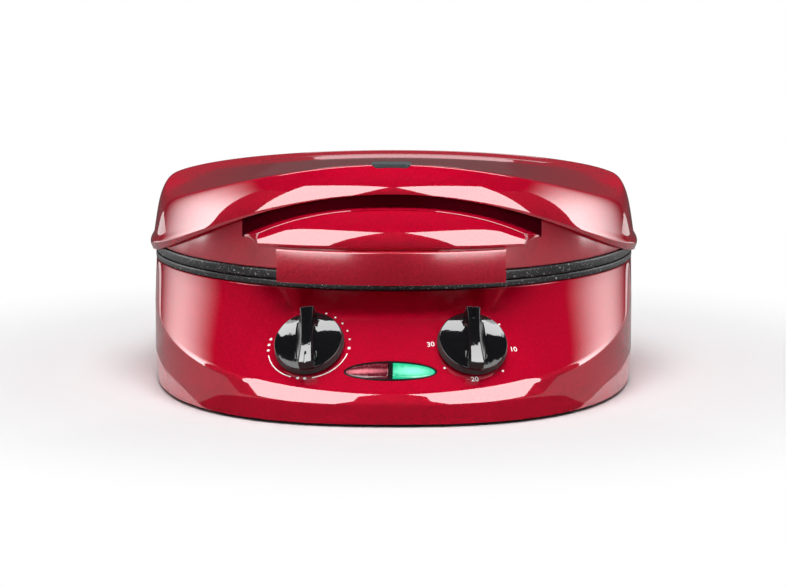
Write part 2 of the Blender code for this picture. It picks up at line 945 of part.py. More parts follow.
here = [Vector((0, 0, 0))]
for dial_name, rest_turn in (("thermostat", 0.0), ("timer", timer_zero_deg)):
    axis = dial_axis(dial_name, rest_turn)
    knob = turned(
        dial_name + "_knob",
        [
            (0, knob_top),
            (knob_top_radius / 2, knob_top - knob_dome / 4),
            (knob_top_radius - edge_round, knob_top - knob_dome),
            (knob_top_radius, knob_top - knob_dome - edge_round / 2),
            (knob_radius, knob_lift),
            (knob_recess_radius, knob_lift),
            (knob_recess_radius, knob_recess_top),
            (0, knob_recess_top),
        ],
        gloss_black,
        axis,
        None,
        knob_facets,
    )
    join(knob, dial_name + "_grip", lofted(dial_name + "_grip", grip_sections()))
    bore = rods(dial_name + "_knob_bore", here, upwards, shaft_hole, 0, shaft_top + seat_gap, fine_facets)
    cut(knob, dial_name + "_knob_bore", bore)
    turned(
        dial_name + "_shaft",
        [(0, shaft_top), (shaft_radius, shaft_top), (shaft_radius, shaft_bottom), (0, shaft_bottom)],
        steel,
        axis,
        None,
        fine_facets,
    )

still = {name: empty(name + "_seat", root, frame) for name, frame in dials.items()}
inside = -shell_wall - seat_gap - panel_bow
collar_radius = bush_radius + collar_wall
body_top = inside - collar_height
bore_depth = shell_wall + shaft_sink + seat_gap
turned(
    "thermostat_body",
    [
        (shaft_hole, bush_height),
        (bush_radius, bush_height),
        (bush_radius, inside),
        (collar_radius, inside),
        (collar_radius, body_top),
        (thermostat_radius, body_top),
        (thermostat_radius, body_top - thermostat_depth),
        (0, body_top - thermostat_depth),
        (0, -bore_depth),
        (shaft_hole, -bore_depth),
    ],
    ceramic,
    still["thermostat"],
    None,
    small_facets,
    True,
)
timer_box = added(
    "timer_body",
    strip(
        "timer_body",
        Vector((0, 0, body_top - timer_depth / 2)),
        (2 * timer_half_width, 2 * timer_half_width, timer_depth),
    ),
    steel,
    still["timer"],
)
collar = rods("timer_collar", here, upwards, collar_radius, body_top - overrun, inside, fine_facets)
join(timer_box, "timer_collar", collar)
stub = rods("timer_bush", here, upwards, bush_radius, body_top - overrun / 2, bush_height, fine_facets)
join(timer_box, "timer_bush", stub)
bore = rods("timer_bore", here, upwards, shaft_hole, -bore_depth, bush_height + overrun, fine_facets)
cut(timer_box, "timer_bore", bore)
nut_top = seat_gap + nut_height
nut_hole = bush_radius + seat_gap
for dial_name in dials:
    corner_turns = [math.tau * i / 6 for i in range(6)]
    hexagon = [(nut_radius * math.cos(a), nut_radius * math.sin(a)) for a in corner_turns]
    nut_mesh = prism(dial_name + "_nut", hexagon, seat_gap, nut_top)
    nut = added(dial_name + "_nut", nut_mesh, steel, still[dial_name])
    bore = rods(dial_name + "_nut_bore", here, upwards, nut_hole, -overrun, nut_top + overrun, fine_facets)
    cut(nut, dial_name + "_nut_bore", bore)


# Indicator: two lenses in one eye-shaped frame, with a lamp behind each

def sagged(points, reach):
    """Lowers points towards the eye's ends, as the panel curves away there."""
    points = np.array(points)
    points[:, 2] -= lens_sag * (points[:, 0] / reach) ** 2
    return points


def eye_ring(grow, height, sag=True, **stretch):
    flat = eye(grow, **stretch)
    ring = np.hstack([flat, np.full((len(flat), 1), height)])
    return sagged(ring, lens_half_length) if sag else ring


flange_top = -frame_depth
flange_bottom = -frame_depth - frame_flange_wall
frame_mesh = lofted(
    "lens_frame",
    [
        eye_ring(frame_flange, flange_bottom, False),
        eye_ring(frame_flange, flange_top, False),
        eye_ring(frame_width, flange_top + seat_gap / 3, False),
        eye_ring(frame_width, seat_gap),
    ],
)
lens_frame = added("lens_frame", frame_mesh, dull_black, indicator)
split_share = lens_split / 2 / lens_half_length
halves = {"red": (-1.0, -split_share, red_glass), "green": (split_share, 1.0, green_glass)}
for lens_name, (start, end, glass) in halves.items():
    hollow = lofted(
        lens_name + "_lens_hole",
        [
            eye_ring(0.0, flange_bottom - overrun, False, start=start, end=end),
            eye_ring(0.0, overrun, False, start=start, end=end),
        ],
    )
    cut(lens_frame, lens_name + "_lens_hole", hollow)
    tight = seat_gap / lens_half_length
    begin = start + (2 * tight if start > -1 else 0.0)
    finish = end - (2 * tight if end < 1 else 0.0)
    rings = [
        eye_ring(-seat_gap, -lens_skirt, False, start=begin, end=finish),
        eye_ring(-seat_gap, 0.0, True, start=begin, end=finish),
    ]
    middle = np.array([(begin + finish) / 2 * lens_half_length, 0.0, 0.0])
    for shrink, rise in zip(lens_ring_shares, lens_rise_shares):
        inner = middle + (rings[1] - middle) * [shrink, shrink, 1.0]
        crown = lens_crown * rise * (1 - (inner[:, 0] / lens_half_length) ** 2)
        inner[:, 2] = rings[1][:, 2] * shrink + crown
        rings.append(inner)
    added(lens_name + "_lens", lofted(lens_name + "_lens", rings), glass, indicator)

holder_top = flange_bottom - seat_gap
lamp_top = -lens_skirt - lamp_gap
holder_low = lamp_top - lamp_length
lamp_place = lens_half_length * lamp_place_share
holder_reach = lamp_radius + seat_gap + holder_wall
holder_mesh = strip(
    "lamp_holder",
    Vector((0, 0, (holder_top + holder_low) / 2)),
    (2 * (lamp_place + holder_reach), 2 * holder_reach, holder_top - holder_low),
)
lamp_holder = added("lamp_holder", holder_mesh, dull_black, indicator)
lamp_places = [Vector((-lamp_place, 0, 0)), Vector((lamp_place, 0, 0))]
socket_radius = lamp_radius + seat_gap
sockets = rods("lamp_sockets", lamp_places, upwards, socket_radius, holder_low + holder_wall, overrun)
cut(lamp_holder, "lamp_sockets", sockets)
for lamp_name, place in zip(("red_lamp", "green_lamp"), lamp_places):
    low = holder_low + holder_wall + seat_gap
    turned(
        lamp_name,
        [
            (0, lamp_top),
            (lamp_radius * lamp_tip_share, lamp_top - lamp_radius * (1 - lamp_tip_share)),
            (lamp_radius, lamp_top - lamp_radius),
            (lamp_radius, low),
            (0, low),
        ],
        lamp_glass,
        indicator,
        Matrix.Translation(place),
        fine_facets,
    )


# Thermostat sensor: a bulb under the plate and its capillary tube

def curved_path(points, count):
    """A smooth line through the points, sampled evenly."""
    points = [points[0], *points, points[-1]]
    path = []
    for i in range(1, len(points) - 2):
        a, b, c, d = points[i - 1:i + 3]
        for step in range(count):
            t = step / count
            bend = (2 * a - 5 * b + 4 * c - d) * t * t
            twist = (3 * b - a - 3 * c + d) * t ** 3
            path.append((2 * b + (c - a) * t + bend + twist) / 2)
    path.append(points[-2])
    return path


body_back = dials["thermostat"] @ Vector((0, 0, body_top - thermostat_depth - 2 * seat_gap))
body_way = dials["thermostat"].to_3x3().col[2]
sensor_level = pan_under - seat_gap - sensor_radius
sensor_x = -sensor_side_place
under_tray = tray_under - 3 * sensor_radius
hole_place = Vector((sensor_x, -sensor_length * 3 / 2, tray_under))
first_bend, second_bend = (body_back.y * share for share in sensor_route_shares)
route = [
    body_back,
    body_back - body_way * 2 * capillary_radius,
    body_back - body_way * 6 * capillary_radius,
    Vector((body_back.x, first_bend, (body_back.z * 2 + under_tray) / 3)),
    Vector(((body_back.x + sensor_x) / 2, second_bend, under_tray)),
    Vector((sensor_x, hole_place.y - 4 * sensor_radius, under_tray + sensor_radius)),
    hole_place,
    Vector((sensor_x, hole_place.y + 4 * sensor_radius, sensor_level)),
]
path = curved_path(route, 3)
bulb_start = path[-1] + Vector((0, sensor_radius, 0))
bulb = sensor_radius / capillary_radius
path += [bulb_start, bulb_start + Vector((0, seat_gap, 0)), path[-1] + Vector((0, sensor_length, 0))]
thick = [1.0] * (len(path) - 2) + [bulb, bulb]
tube("thermostat_sensor", path, capillary_radius, steel, root, None, thick)
drill = rods("sensor_hole", [hole_place], upwards, 2 * sensor_radius, -overrun, overrun, small_facets)
cut(lower_tray, "sensor_hole", drill)


# Terminal block on the bottom cover

terminal_level = cover_top + seat_gap + terminal_height / 2
terminal_middle = around_pan(base_half_width - terminal_inset, grommet_angle, terminal_level)
terminal = added(
    "terminal_block",
    strip("terminal_block", terminal_middle, (terminal_length, terminal_width, terminal_height)),
    ceramic,
    root,
)
terminal_holes = []
for i in (-1, 0, 1):
    terminal_holes.append(terminal_middle + Vector((i * terminal_length / 3, 0, 0)))
ways = [Vector((0, 1, 0))] * 3
half = terminal_width / 2 + overrun
drill = rods("terminal_holes", terminal_holes, ways, terminal_height / 5, -half, half)
cut(terminal, "terminal_holes", drill)


# Lid housing: visor in front, falling deck, raised margin at the rear

def lid_front(angle):
    """1 at the front of the lid, 0 at its sides and rear."""
    return np.where(np.cos(angle) > 0, np.cos(angle) ** 2, 0.0)


def lid_edge_z(angle):
    """Lower edge: arched over the handle, level round the sides and rear."""
    return lid_edge_height + visor_edge_rise * lid_front(angle)


def lid_top_radius(angle):
    front = lid_front(angle)
    return visor_ridge_radius * front + lid_margin_radius * (1 - front)


def lid_top_z(angle):
    """Ridge: an arch in front that runs out into the level margin behind."""
    turned_by = np.degrees(np.abs((angle + math.pi) % math.tau - math.pi))
    arch = visor_ridge_height - visor_ridge_fall * np.sin(angle) ** 2
    share = smooth_step((turned_by - saddle_start_deg) / (saddle_end_deg - saddle_start_deg))
    return arch * (1 - share) + lid_margin_height * share


def lid_wall_radius(angle, share):
    """The wall from its lower edge (0) to the ridge (1): bulged in front, drafted behind."""
    front = lid_front(angle)
    top = lid_top_radius(angle)
    bulge = (visor_radius - visor_ridge_radius) * (1 - share ** 2)
    draft = (visor_radius + lid_lip_tuck - lid_margin_radius - lid_round) * (1 - share)
    draft = draft + lid_round * (1 - share ** 8)
    lip = lid_lip * np.sin(math.pi * np.clip(share / lid_lip_share, 0, 1)) ** 2
    tuck = lid_lip_tuck * np.clip(1 - share / lid_tuck_share, 0, 1) ** 2
    return top + bulge * front + (draft + lip - tuck) * (1 - front)


def deck_z(x, forward):
    """The deck is ruled from the ridge back to a level line at the rear."""
    reach = lid_margin_radius
    half = np.sqrt(np.maximum(reach ** 2 - x ** 2, (reach / 4) ** 2))
    ahead = lid_top_z(np.arcsin(np.clip(x / reach, -1, 1)))
    share = np.clip((forward + half) / (2 * half), 0, 1)
    return deck_rear_height + (ahead - deck_rear_height) * share


wall_shares = (0.0, 0.08, 0.16, 0.27, 0.50, 0.75, 0.92, 1.0)
deck_shares = (0.97, 0.88, 0.60, 0.30)
crease_share = 0.88


def lid_rows():
    rows = []
    low, high, top = lid_edge_z(turns), lid_top_z(turns), lid_top_radius(turns)
    for share in wall_shares:
        radius = lid_wall_radius(turns, share)
        height = low + (high - low) * share
        rows.append(np.stack([radius * np.sin(turns), -radius * np.cos(turns), height], axis=1))
    edge = deck_z(top * np.sin(turns), top * np.cos(turns))
    for share in deck_shares:
        radius = top * share
        x, forward = radius * np.sin(turns), radius * np.cos(turns)
        ramp = max(0.0, (share - crease_share) / (1 - crease_share))
        height = deck_z(x, forward) + (high - edge) * ramp
        rows.append(np.stack([x, -forward, height], axis=1))
    return np.array(rows)


lid_centre = (0.0, 0.0, float(deck_z(np.array(0.0), np.array(0.0))))
lid_mesh = sheet("lid_housing", lid_rows(), lid_centre)
lid_housing = added("lid_housing", lid_mesh, lacquer, lid_pivot, lid_home, crisp_deg)
shell = lid_housing.modifiers.new("wall", "SOLIDIFY")
shell.thickness = lid_wall
shell.offset = -1.0
shell.use_even_offset = True

pad_low = visor_ridge_height - pad_below_ridge
pad_front = visor_ridge_radius + pad_front_proud
pad_middle_y = -(pad_front - pad_depth / 2)


def pad_outline(grow=0.0):
    """A stadium: straight sides with round ends."""
    radius = pad_depth / 2 + grow
    straight = pad_width / 2 - pad_depth / 2
    points = []
    for side, start in ((1, -math.pi / 2), (-1, math.pi / 2)):
        for i in range(9):
            around = start + math.pi * i / 8
            x = side * straight + radius * math.cos(around)
            points.append((x, pad_middle_y + radius * math.sin(around)))
    return points


pocket = prism("pad_pocket", pad_outline(seat_gap), pad_low - overrun, pad_top + overrun)
cut(lid_housing, "pad_pocket", pocket)
pad_mesh = prism("rest_pad", pad_outline(), pad_low - lid_wall, pad_top)
pad = added("rest_pad", pad_mesh, rubber, lid_pivot, lid_home)
soft = pad.modifiers.new("soft edge", "BEVEL")
soft.width = pad_proud / 4
soft.segments = 1
soft.limit_method = "ANGLE"
soft.angle_limit = math.radians(50)


# Lid skirt: the inner wall below the visor and the seat of the upper plate

def skirt_radius_at(height):
    return skirt_radius - skirt_lean_share * (height - skirt_bottom)


def skirt_top_z(angle):
    return np.maximum(lid_edge_z(angle) + skirt_cover, skirt_bottom + skirt_least_height)


def skirt_rows():
    rows = []
    seat_inner = skirt_radius - skirt_seat_width
    level = np.full(len(turns), skirt_bottom)
    for radius in (seat_inner, skirt_radius - edge_round):
        rows.append(np.stack([radius * np.sin(turns), -radius * np.cos(turns), level], axis=1))
    start = skirt_bottom + edge_round
    for share in (0, 1):
        height = start + (skirt_top_z(turns) - start) * share
        radius = skirt_radius_at(height)
        rows.append(np.stack([radius * np.sin(turns), -radius * np.cos(turns), height], axis=1))
    return np.array(rows)


lid_skirt = added("lid_skirt", sheet("lid_skirt", skirt_rows()), lacquer, lid_pivot, lid_home)
shell = lid_skirt.modifiers.new("wall", "SOLIDIFY")
shell.thickness = skirt_wall
shell.offset = -1.0
shell.use_even_offset = True

# Four long screws come up through the plate's rim, the seat and the tray into the lid's bosses
lid_boss_bottom = seat_top + seat_gap + tray_wall + seat_gap
lid_boss_height = lid_margin_height - lid_wall - lid_boss_bottom
lid_boss_ring = upper_tray_mouth_radius + 2 * seat_gap + lid_boss_radius
lid_boss_places = ring_places(lid_boss_ring, lid_screw_degs, lid_boss_bottom)
bosses = rods("lid_bosses", lid_boss_places, upwards, lid_boss_radius, 0, lid_boss_height)
join(lid_housing, "lid_bosses", bosses)
sunk = screw_head_height + seat_gap
rim_places = ring_places(lid_boss_ring, lid_screw_degs, upper_rim_bottom + sunk)
shank = lid_boss_bottom - upper_rim_bottom - sunk + boss_height * screw_bite_share
screws("lid_screw", corners, rim_places, upwards, shank, lid_pivot, lid_home)
drill = rods("sunk_heads", rim_places, upwards, screw_head_radius + seat_gap, -sunk - overrun, 0)
cut(upper_plate, "sunk_heads", drill)
for target, hole_name in (
    (upper_plate, "lid_screw_holes"),
    (lid_skirt, "seat_holes"),
    (upper_tray, "upper_tray_holes"),
    (lid_housing, "lid_boss_holes"),
):
    cut(target, hole_name, rods(hole_name, rim_places, upwards, pilot, -seat_gap, shank + seat_gap))


# Handle: a crescent-shaped dome above a curved plate

def handle_crest_z(x):
    return handle_crest_height - handle_crest_fall * (x / handle_half_width) ** 2


def on_skirt(x, height):
    """How far forward the handle's back lies, a gap in front of the skirt."""
    radius = skirt_radius_at(height) + seat_gap
    return np.sqrt(radius ** 2 - x ** 2)


def dome_sections():
    """Sections across the grip, each from its back edge forward and up over the dome."""
    sections = []
    rise_start = handle_half_width - handle_tip
    half = np.concatenate([np.linspace(0, rise_start, 7), [handle_half_width]])
    for x in np.concatenate([-half[:0:-1], half]):
        crest = handle_crest_z(x)
        lift = max(0.0, (abs(x) - rise_start) / handle_tip)
        tip = crest - edge_round
        bottom = handle_bottom_height + (tip - handle_bottom_height) * lift
        front = math.sqrt(handle_radius ** 2 - x ** 2)
        back = on_skirt(x, crest)
        section = [(x, -on_skirt(x, bottom), bottom), (x, -front + edge_round / 2, bottom)]
        for share in dome_shares:
            arc = share * math.pi / 2
            forward = back + (front - back) * math.cos(arc) ** dome_front_power
            height = bottom + (crest - bottom) * math.sin(arc)
            section.append((x, -forward, height))
        section.append((x, -back, crest))
        for share in (2 / 3, 1 / 3):
            level = bottom + (crest - bottom) * share
            section.append((x, -on_skirt(x, level), level))
        sections.append(section)
    return sections


dome_mesh = lofted("handle_upper", dome_sections())
handle_upper = added("handle_upper", dome_mesh, lacquer, lid_pivot, lid_home, crisp_deg)

plate_top = handle_bottom_height - handle_split
plate_bottom = plate_top - handle_plate_height
plate_back = skirt_radius + 2 * seat_gap
plate_inner = handle_radius - handle_plate_wall
plate_half_deg = math.degrees(math.asin((handle_half_width - handle_plate_inset) / handle_radius))


def shell_stops(middle_deg, half_deg):
    """The ends of a sector, and the shells' edges between them."""
    step = 360 / loft_facets
    count = int(half_deg / step)
    edges = [middle_deg + step * i for i in range(-count, count + 1)]
    return [middle_deg - half_deg, *edges, middle_deg + half_deg]


def wedge(name, profile, degrees):
    """A (radius, height) outline carried round the pan axis."""
    sections = []
    for angle in np.radians(degrees):
        sections.append([tuple(around_pan(radius, angle, height)) for radius, height in profile])
    return lofted(name, sections)


# The plate is a shelf with a front lip, closed by a web at each end
plate_profile = [
    (handle_radius, plate_bottom + edge_round),
    (handle_radius, plate_top - edge_round),
    (handle_radius - edge_round, plate_top),
    (plate_back, plate_top),
    (plate_back, plate_top - handle_plate_wall),
    (plate_inner, plate_top - handle_plate_wall),
    (plate_inner, plate_bottom),
    (handle_radius - edge_round / 2, plate_bottom),
]
handle_front = added(
    "handle_front",
    wedge("handle_front", plate_profile, np.linspace(-plate_half_deg, plate_half_deg, 13)),
    lacquer,
    lid_pivot,
    lid_home,
    crisp_deg,
)
web_profile = [
    (plate_inner + edge_round, plate_bottom + edge_round),
    (plate_inner + edge_round, plate_top - edge_round),
    (plate_back, plate_top - edge_round),
    (plate_back, plate_bottom + 3 * edge_round),
    (plate_back + 2 * edge_round, plate_bottom + edge_round),
]
web_middle_deg = plate_half_deg - handle_web_deg
for web_name, side in (("web_left", -1), ("web_right", 1)):
    web_degs = (side * web_middle_deg - handle_web_deg / 2, side * web_middle_deg + handle_web_deg / 2)
    join(handle_front, web_name, wedge(web_name, web_profile, web_degs))

# Two screws tie the plate to the dome, two more hold the dome to the skirt
sides = ("left", "right")
shelf_under = plate_top - handle_plate_wall - seat_gap
grip_places = ring_places((handle_radius + skirt_radius) / 2, grip_screw_degs, shelf_under)
shank = handle_plate_wall + handle_split + seat_gap + 3 * screw_radius
screws("handle_plate_screw", sides, grip_places, upwards, shank, lid_pivot, lid_home)
for target, hole_name in ((handle_front, "plate_holes"), (handle_upper, "dome_holes")):
    cut(target, hole_name, rods(hole_name, grip_places, upwards, pilot, -seat_gap, shank + seat_gap))
back_height = (handle_bottom_height + handle_crest_height) / 2
back_radius = skirt_radius_at(back_height) - skirt_wall - 2 * seat_gap
back_turns = [facets * facet_turn for facets in (-back_screw_facets, back_screw_facets)]
back_places = [around_pan(back_radius, a, back_height) for a in back_turns]
back_ways = [outwards_at(a) for a in back_turns]
shank = skirt_wall + 4 * seat_gap + 4 * screw_radius
screws("handle_screw", sides, back_places, back_ways, shank, lid_pivot, lid_home)
for target, hole_name in ((lid_skirt, "skirt_handle_holes"), (handle_upper, "handle_back_holes")):
    cut(target, hole_name, rods(hole_name, back_places, back_ways, pilot, -seat_gap, shank + seat_gap))


# Hinge: a bracket with two ears on the base, a broad knuckle on the lid, one pin

def across_x(name, outline, low, high):
    """An outline of (back, height) carried from one X to another."""
    return lofted(name, [[(x, back, height) for back, height in outline] for x in (low, high)])


def knuckle_arc(start_deg, end_deg, count=9):
    """Points round the knuckle, from straight back (0) over the top (90)."""
    points = []
    for i in range(count):
        around = math.radians(start_deg + (end_deg - start_deg) * i / (count - 1))
        back = hinge_distance + knuckle_radius * math.cos(around)
        points.append((back, hinge_height + knuckle_radius * math.sin(around)))
    return points


ear_inner = lid_knuckle_half_width + hinge_side_gap
ear_outer = ear_inner + ear_thickness
flange_half_deg = math.degrees(math.asin((ear_outer + ear_thickness) / rim_radius))
base_flange_inner = base_half_width + seat_gap
base_flange_outer = base_flange_inner + hinge_flange_wall
base_flange_top = base_height - hinge_flange_drop
base_flange_bottom = base_flange_top - hinge_flange_height
base_flange = [
    (base_flange_inner, base_flange_bottom),
    (base_flange_outer, base_flange_bottom),
    (base_flange_outer, base_flange_top),
    (base_flange_inner, base_flange_top),
]
flange_mesh = wedge("base_hinge_bracket", base_flange, shell_stops(180, flange_half_deg))
bracket = added("base_hinge_bracket", flange_mesh, lacquer, root)
flange_depth_at_ear = math.sqrt(base_flange_inner ** 2 - ear_outer ** 2)
ear_root = flange_depth_at_ear + hinge_flange_wall / 2
ear_outline = [
    *knuckle_arc(-60, 150, 13),
    (ear_root, base_flange_top),
    (ear_root, base_flange_bottom + hinge_flange_wall),
]
for ear_side, low, high in (("left", -ear_outer, -ear_inner), ("right", ear_inner, ear_outer)):
    join(bracket, "ear_" + ear_side, across_x("ear_" + ear_side, ear_outline, low, high))

lid_rear = np.array(math.pi)
lid_height_here = float(lid_top_z(lid_rear)) - lid_edge_height


def lid_rear_radius(height):
    return float(lid_wall_radius(lid_rear, (height - lid_edge_height) / lid_height_here))


wall_levels = [lid_edge_height + lid_height_here * share for share in lid_flange_shares]
lid_flange_bottom, lid_flange_top = wall_levels[0], wall_levels[-1]
wall_side = [(lid_rear_radius(level) + seat_gap, level) for level in wall_levels]
flange_outside = [(radius + hinge_flange_wall, level) for radius, level in reversed(wall_side)]
lid_flange_half_deg = math.degrees(math.asin(lid_knuckle_half_width / visor_radius))
lid_hinge = added(
    "lid_hinge_knuckle",
    wedge("lid_hinge_knuckle", wall_side + flange_outside, shell_stops(180, lid_flange_half_deg)),
    lacquer,
    lid_pivot,
    lid_home,
)
block_low = visor_radius + lid_lip + 2 * seat_gap + hinge_flange_wall / 2
block_top = (lid_flange_bottom + lid_flange_top) / 2 + hinge_flange_wall
block_outline = [
    *knuckle_arc(-150, 60, 13),
    (block_low, block_top),
    (block_low, lid_flange_bottom + seat_gap),
]
knuckle_width = lid_knuckle_half_width
join(lid_hinge, "knuckle_block", across_x("knuckle_block", block_outline, -knuckle_width, knuckle_width))

pin_line = [Vector((0, hinge_distance, hinge_height))]
pin_way = [Vector((1, 0, 0))]
bore_radius = pin_radius + seat_gap + screw_hole_gap / 2
bore_reach = ear_outer + overrun
for target, bore_name in ((bracket, "ear_bore"), (lid_hinge, "knuckle_bore")):
    cut(target, bore_name, rods(bore_name, pin_line, pin_way, bore_radius, -bore_reach, bore_reach))
pin_half = ear_outer + seat_gap
pin_mesh = rods("hinge_pin", pin_line, pin_way, pin_radius, -pin_half, pin_half, fine_facets)
pin = added("hinge_pin", pin_mesh, steel, root)
for end_name, low, high in (
    ("pin_head_left", -pin_half - pin_head_thickness, -pin_half + seat_gap / 3),
    ("pin_head_right", pin_half - seat_gap / 3, pin_half + pin_head_thickness),
):
    join(pin, end_name, rods(end_name, pin_line, pin_way, pin_head_radius, low, high))


def hinge_screws(name, flange, housing, radius, height, degrees, parent, home):
    """Screws that come in from behind, through a hinge flange into the shell."""
    turns_here = [math.pi + math.radians(a) for a in degrees]
    ways_in = [-outwards_at(a) for a in turns_here]
    places = [around_pan(radius + hinge_flange_wall + seat_gap, a, height) for a in turns_here]
    length = hinge_flange_wall + shell_wall + 4 * seat_gap + edge_round
    screws(name, sides, places, ways_in, length, parent, home)
    for target, hole_name in ((flange, name + "_flange_holes"), (housing, name + "_wall_holes")):
        cut(target, hole_name, rods(hole_name, places, ways_in, pilot, -seat_gap, length + seat_gap))


base_screw_height = (base_flange_bottom + base_flange_top) / 2
hinge_screws(
    "base_hinge_screw",
    bracket,
    base_housing,
    base_flange_inner,
    base_screw_height,
    hinge_screw_degs,
    root,
    None,
)
lid_screw_height = (block_top + lid_flange_top) / 2
hinge_screws(
    "lid_hinge_screw",
    lid_hinge,
    lid_housing,
    lid_rear_radius(lid_screw_height - screw_head_radius) + seat_gap,
    lid_screw_height,
    hinge_screw_degs,
    lid_pivot,
    lid_home,
)
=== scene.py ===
"""Looks of the electric pie maker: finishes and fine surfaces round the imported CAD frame.

Lengths are in metres. The front of the cooker faces -Y and the table is at Z = 0. Angles
about the pan's axis start at the front and grow towards +X.
"""
import json
import math

import bmesh
import bpy
import numpy as np
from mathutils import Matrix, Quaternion, Vector


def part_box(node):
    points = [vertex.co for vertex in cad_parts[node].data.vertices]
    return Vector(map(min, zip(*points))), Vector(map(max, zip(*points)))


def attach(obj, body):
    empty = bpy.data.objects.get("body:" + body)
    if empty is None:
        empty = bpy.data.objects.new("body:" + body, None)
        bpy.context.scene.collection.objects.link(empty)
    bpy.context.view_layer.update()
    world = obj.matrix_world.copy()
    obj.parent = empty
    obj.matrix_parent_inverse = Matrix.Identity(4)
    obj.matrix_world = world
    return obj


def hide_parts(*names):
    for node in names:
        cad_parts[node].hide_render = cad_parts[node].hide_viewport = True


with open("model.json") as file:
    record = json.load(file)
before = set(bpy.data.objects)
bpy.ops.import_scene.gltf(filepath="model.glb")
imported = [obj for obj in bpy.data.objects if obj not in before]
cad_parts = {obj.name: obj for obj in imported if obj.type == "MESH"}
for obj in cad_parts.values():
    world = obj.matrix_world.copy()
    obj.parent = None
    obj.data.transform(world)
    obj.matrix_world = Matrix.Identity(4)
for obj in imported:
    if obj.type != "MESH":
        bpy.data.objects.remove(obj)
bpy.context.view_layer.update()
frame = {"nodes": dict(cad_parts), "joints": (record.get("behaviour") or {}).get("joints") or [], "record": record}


# Camera and studio. A long lens looks from in front and a little above, on a picture of
# 786 by 587 pixels. The floor is pale, the backdrop is white, and soft boxes stand round.

picture_width = 786
focal_pixels = 4054
camera_data = bpy.data.cameras.new("camera")
camera_data.sensor_width = 36
camera_data.lens = focal_pixels * camera_data.sensor_width / picture_width
camera = bpy.data.objects.new("camera", camera_data)
camera.location = (0.032, -2.98225, 0.546)
camera.rotation_euler = (math.radians(90 - 9.28), 0, math.radians(0.6237))
bpy.context.scene.collection.objects.link(camera)
bpy.context.scene.camera = camera
bpy.context.scene.view_settings.view_transform = "Standard"


def fill(tree, node, values):
    """Fills a node's inputs, by name or number: a socket is linked, another value is set."""
    for key, value in values.items():
        if isinstance(value, bpy.types.NodeSocket):
            tree.links.new(value, node.inputs[key])
        else:
            node.inputs[key].default_value = value


def add_node(tree, kind, values, **settings):
    """A new node of a kind, with its settings made and then its inputs filled."""
    node = tree.nodes.new("ShaderNode" + kind)
    for name, value in settings.items():
        setattr(node, name, value)
    fill(tree, node, values)
    return node


def arith(tree, operation, *values):
    """The outcome of a Math node."""
    return add_node(tree, "Math", dict(enumerate(values)), operation=operation).outputs[0]


def vectors(tree, operation, *values):
    """The outcome of a Vector Math node: a number for a length or a dot product."""
    made = add_node(tree, "VectorMath", dict(enumerate(values)), operation=operation)
    return made.outputs["Value" if operation in ("LENGTH", "DOT_PRODUCT") else "Vector"]


def ranged(tree, value, low, high, start=0.0, end=1.0, curve="LINEAR"):
    """A value that runs from start to end, brought to the span from low to high."""
    values = {"Value": value, "From Min": start, "From Max": end, "To Min": low, "To Max": high}
    return add_node(tree, "MapRange", values, interpolation_type=curve).outputs["Result"]


def object_point(tree):
    return tree.nodes.new("ShaderNodeTexCoord").outputs["Object"]


def new_material(name, values):
    """A node material, its node tree, and its Principled shader with some inputs filled."""
    made = bpy.data.materials.new(name)
    made.use_nodes = True
    shader = made.node_tree.nodes["Principled BSDF"]
    fill(made.node_tree, shader, values)
    return made, made.node_tree, shader


def seen_by_eye(tree):
    """A value that is 1 for rays that show the backdrop: from the camera, a mirror or a glass."""
    path = tree.nodes.new("ShaderNodeLightPath").outputs
    mirror = arith(tree, "MAXIMUM", path["Is Camera Ray"], path["Is Glossy Ray"])
    return arith(tree, "MAXIMUM", mirror, path["Is Transmission Ray"])


world = bpy.data.worlds.new("studio")
world.use_nodes = True
bpy.context.scene.world = world
room_light = 0.18
room = ranged(world.node_tree, seen_by_eye(world.node_tree), room_light, 1.0)
fill(world.node_tree, world.node_tree.nodes["Background"], {"Color": (1, 1, 1, 1), "Strength": room})


def ellipse(length, height, count):
    """Points of a full ellipse about (0, 0)."""
    turn = np.linspace(0, math.tau, count, endpoint=False)
    return np.stack([length * np.cos(turn), height * np.sin(turn)], axis=1)


def studio_piece(name, points, faces, paint):
    """Links a mesh that belongs to the studio."""
    mesh = bpy.data.meshes.new(name)
    mesh.from_pydata(points.tolist(), [], faces)
    mesh.materials.append(paint)
    made = bpy.data.objects.new(name, mesh)
    bpy.context.scene.collection.objects.link(made)
    return made


def studio_floor(size, pale, near, far, count=96):
    """A flat disc whose pale paint gives way to white light between two distances."""
    matt = {"Base Color": (*pale, 1), "Roughness": 0.55, "Specular IOR Level": 0.2}
    paint, tree, shader = new_material("floor paint", matt)
    away = vectors(tree, "LENGTH", object_point(tree))
    fade = ranged(tree, away, 0.0, 1.0, near, far, "SMOOTHSTEP")
    white = add_node(tree, "Emission", {"Strength": ranged(tree, seen_by_eye(tree), room_light, 1.0)})
    mix = add_node(tree, "MixShader", {"Fac": fade, 1: shader.outputs[0], 2: white.outputs[0]})
    fill(tree, tree.nodes["Material Output"], {"Surface": mix.outputs[0]})
    rim = np.column_stack([ellipse(size, size, count), np.zeros(count)])
    studio_piece("floor", rim, [tuple(range(count))], paint)


studio_floor(6.0, (0.84, 0.84, 0.85), 0.23, 0.48)


def glow_only(name):
    """A material without its Principled shader, its node tree, and its Emission node."""
    paint, tree, shader = new_material(name, {})
    tree.nodes.remove(shader)
    glow = add_node(tree, "Emission", {})
    fill(tree, tree.nodes["Material Output"], {"Surface": glow.outputs[0]})
    return paint, tree, glow


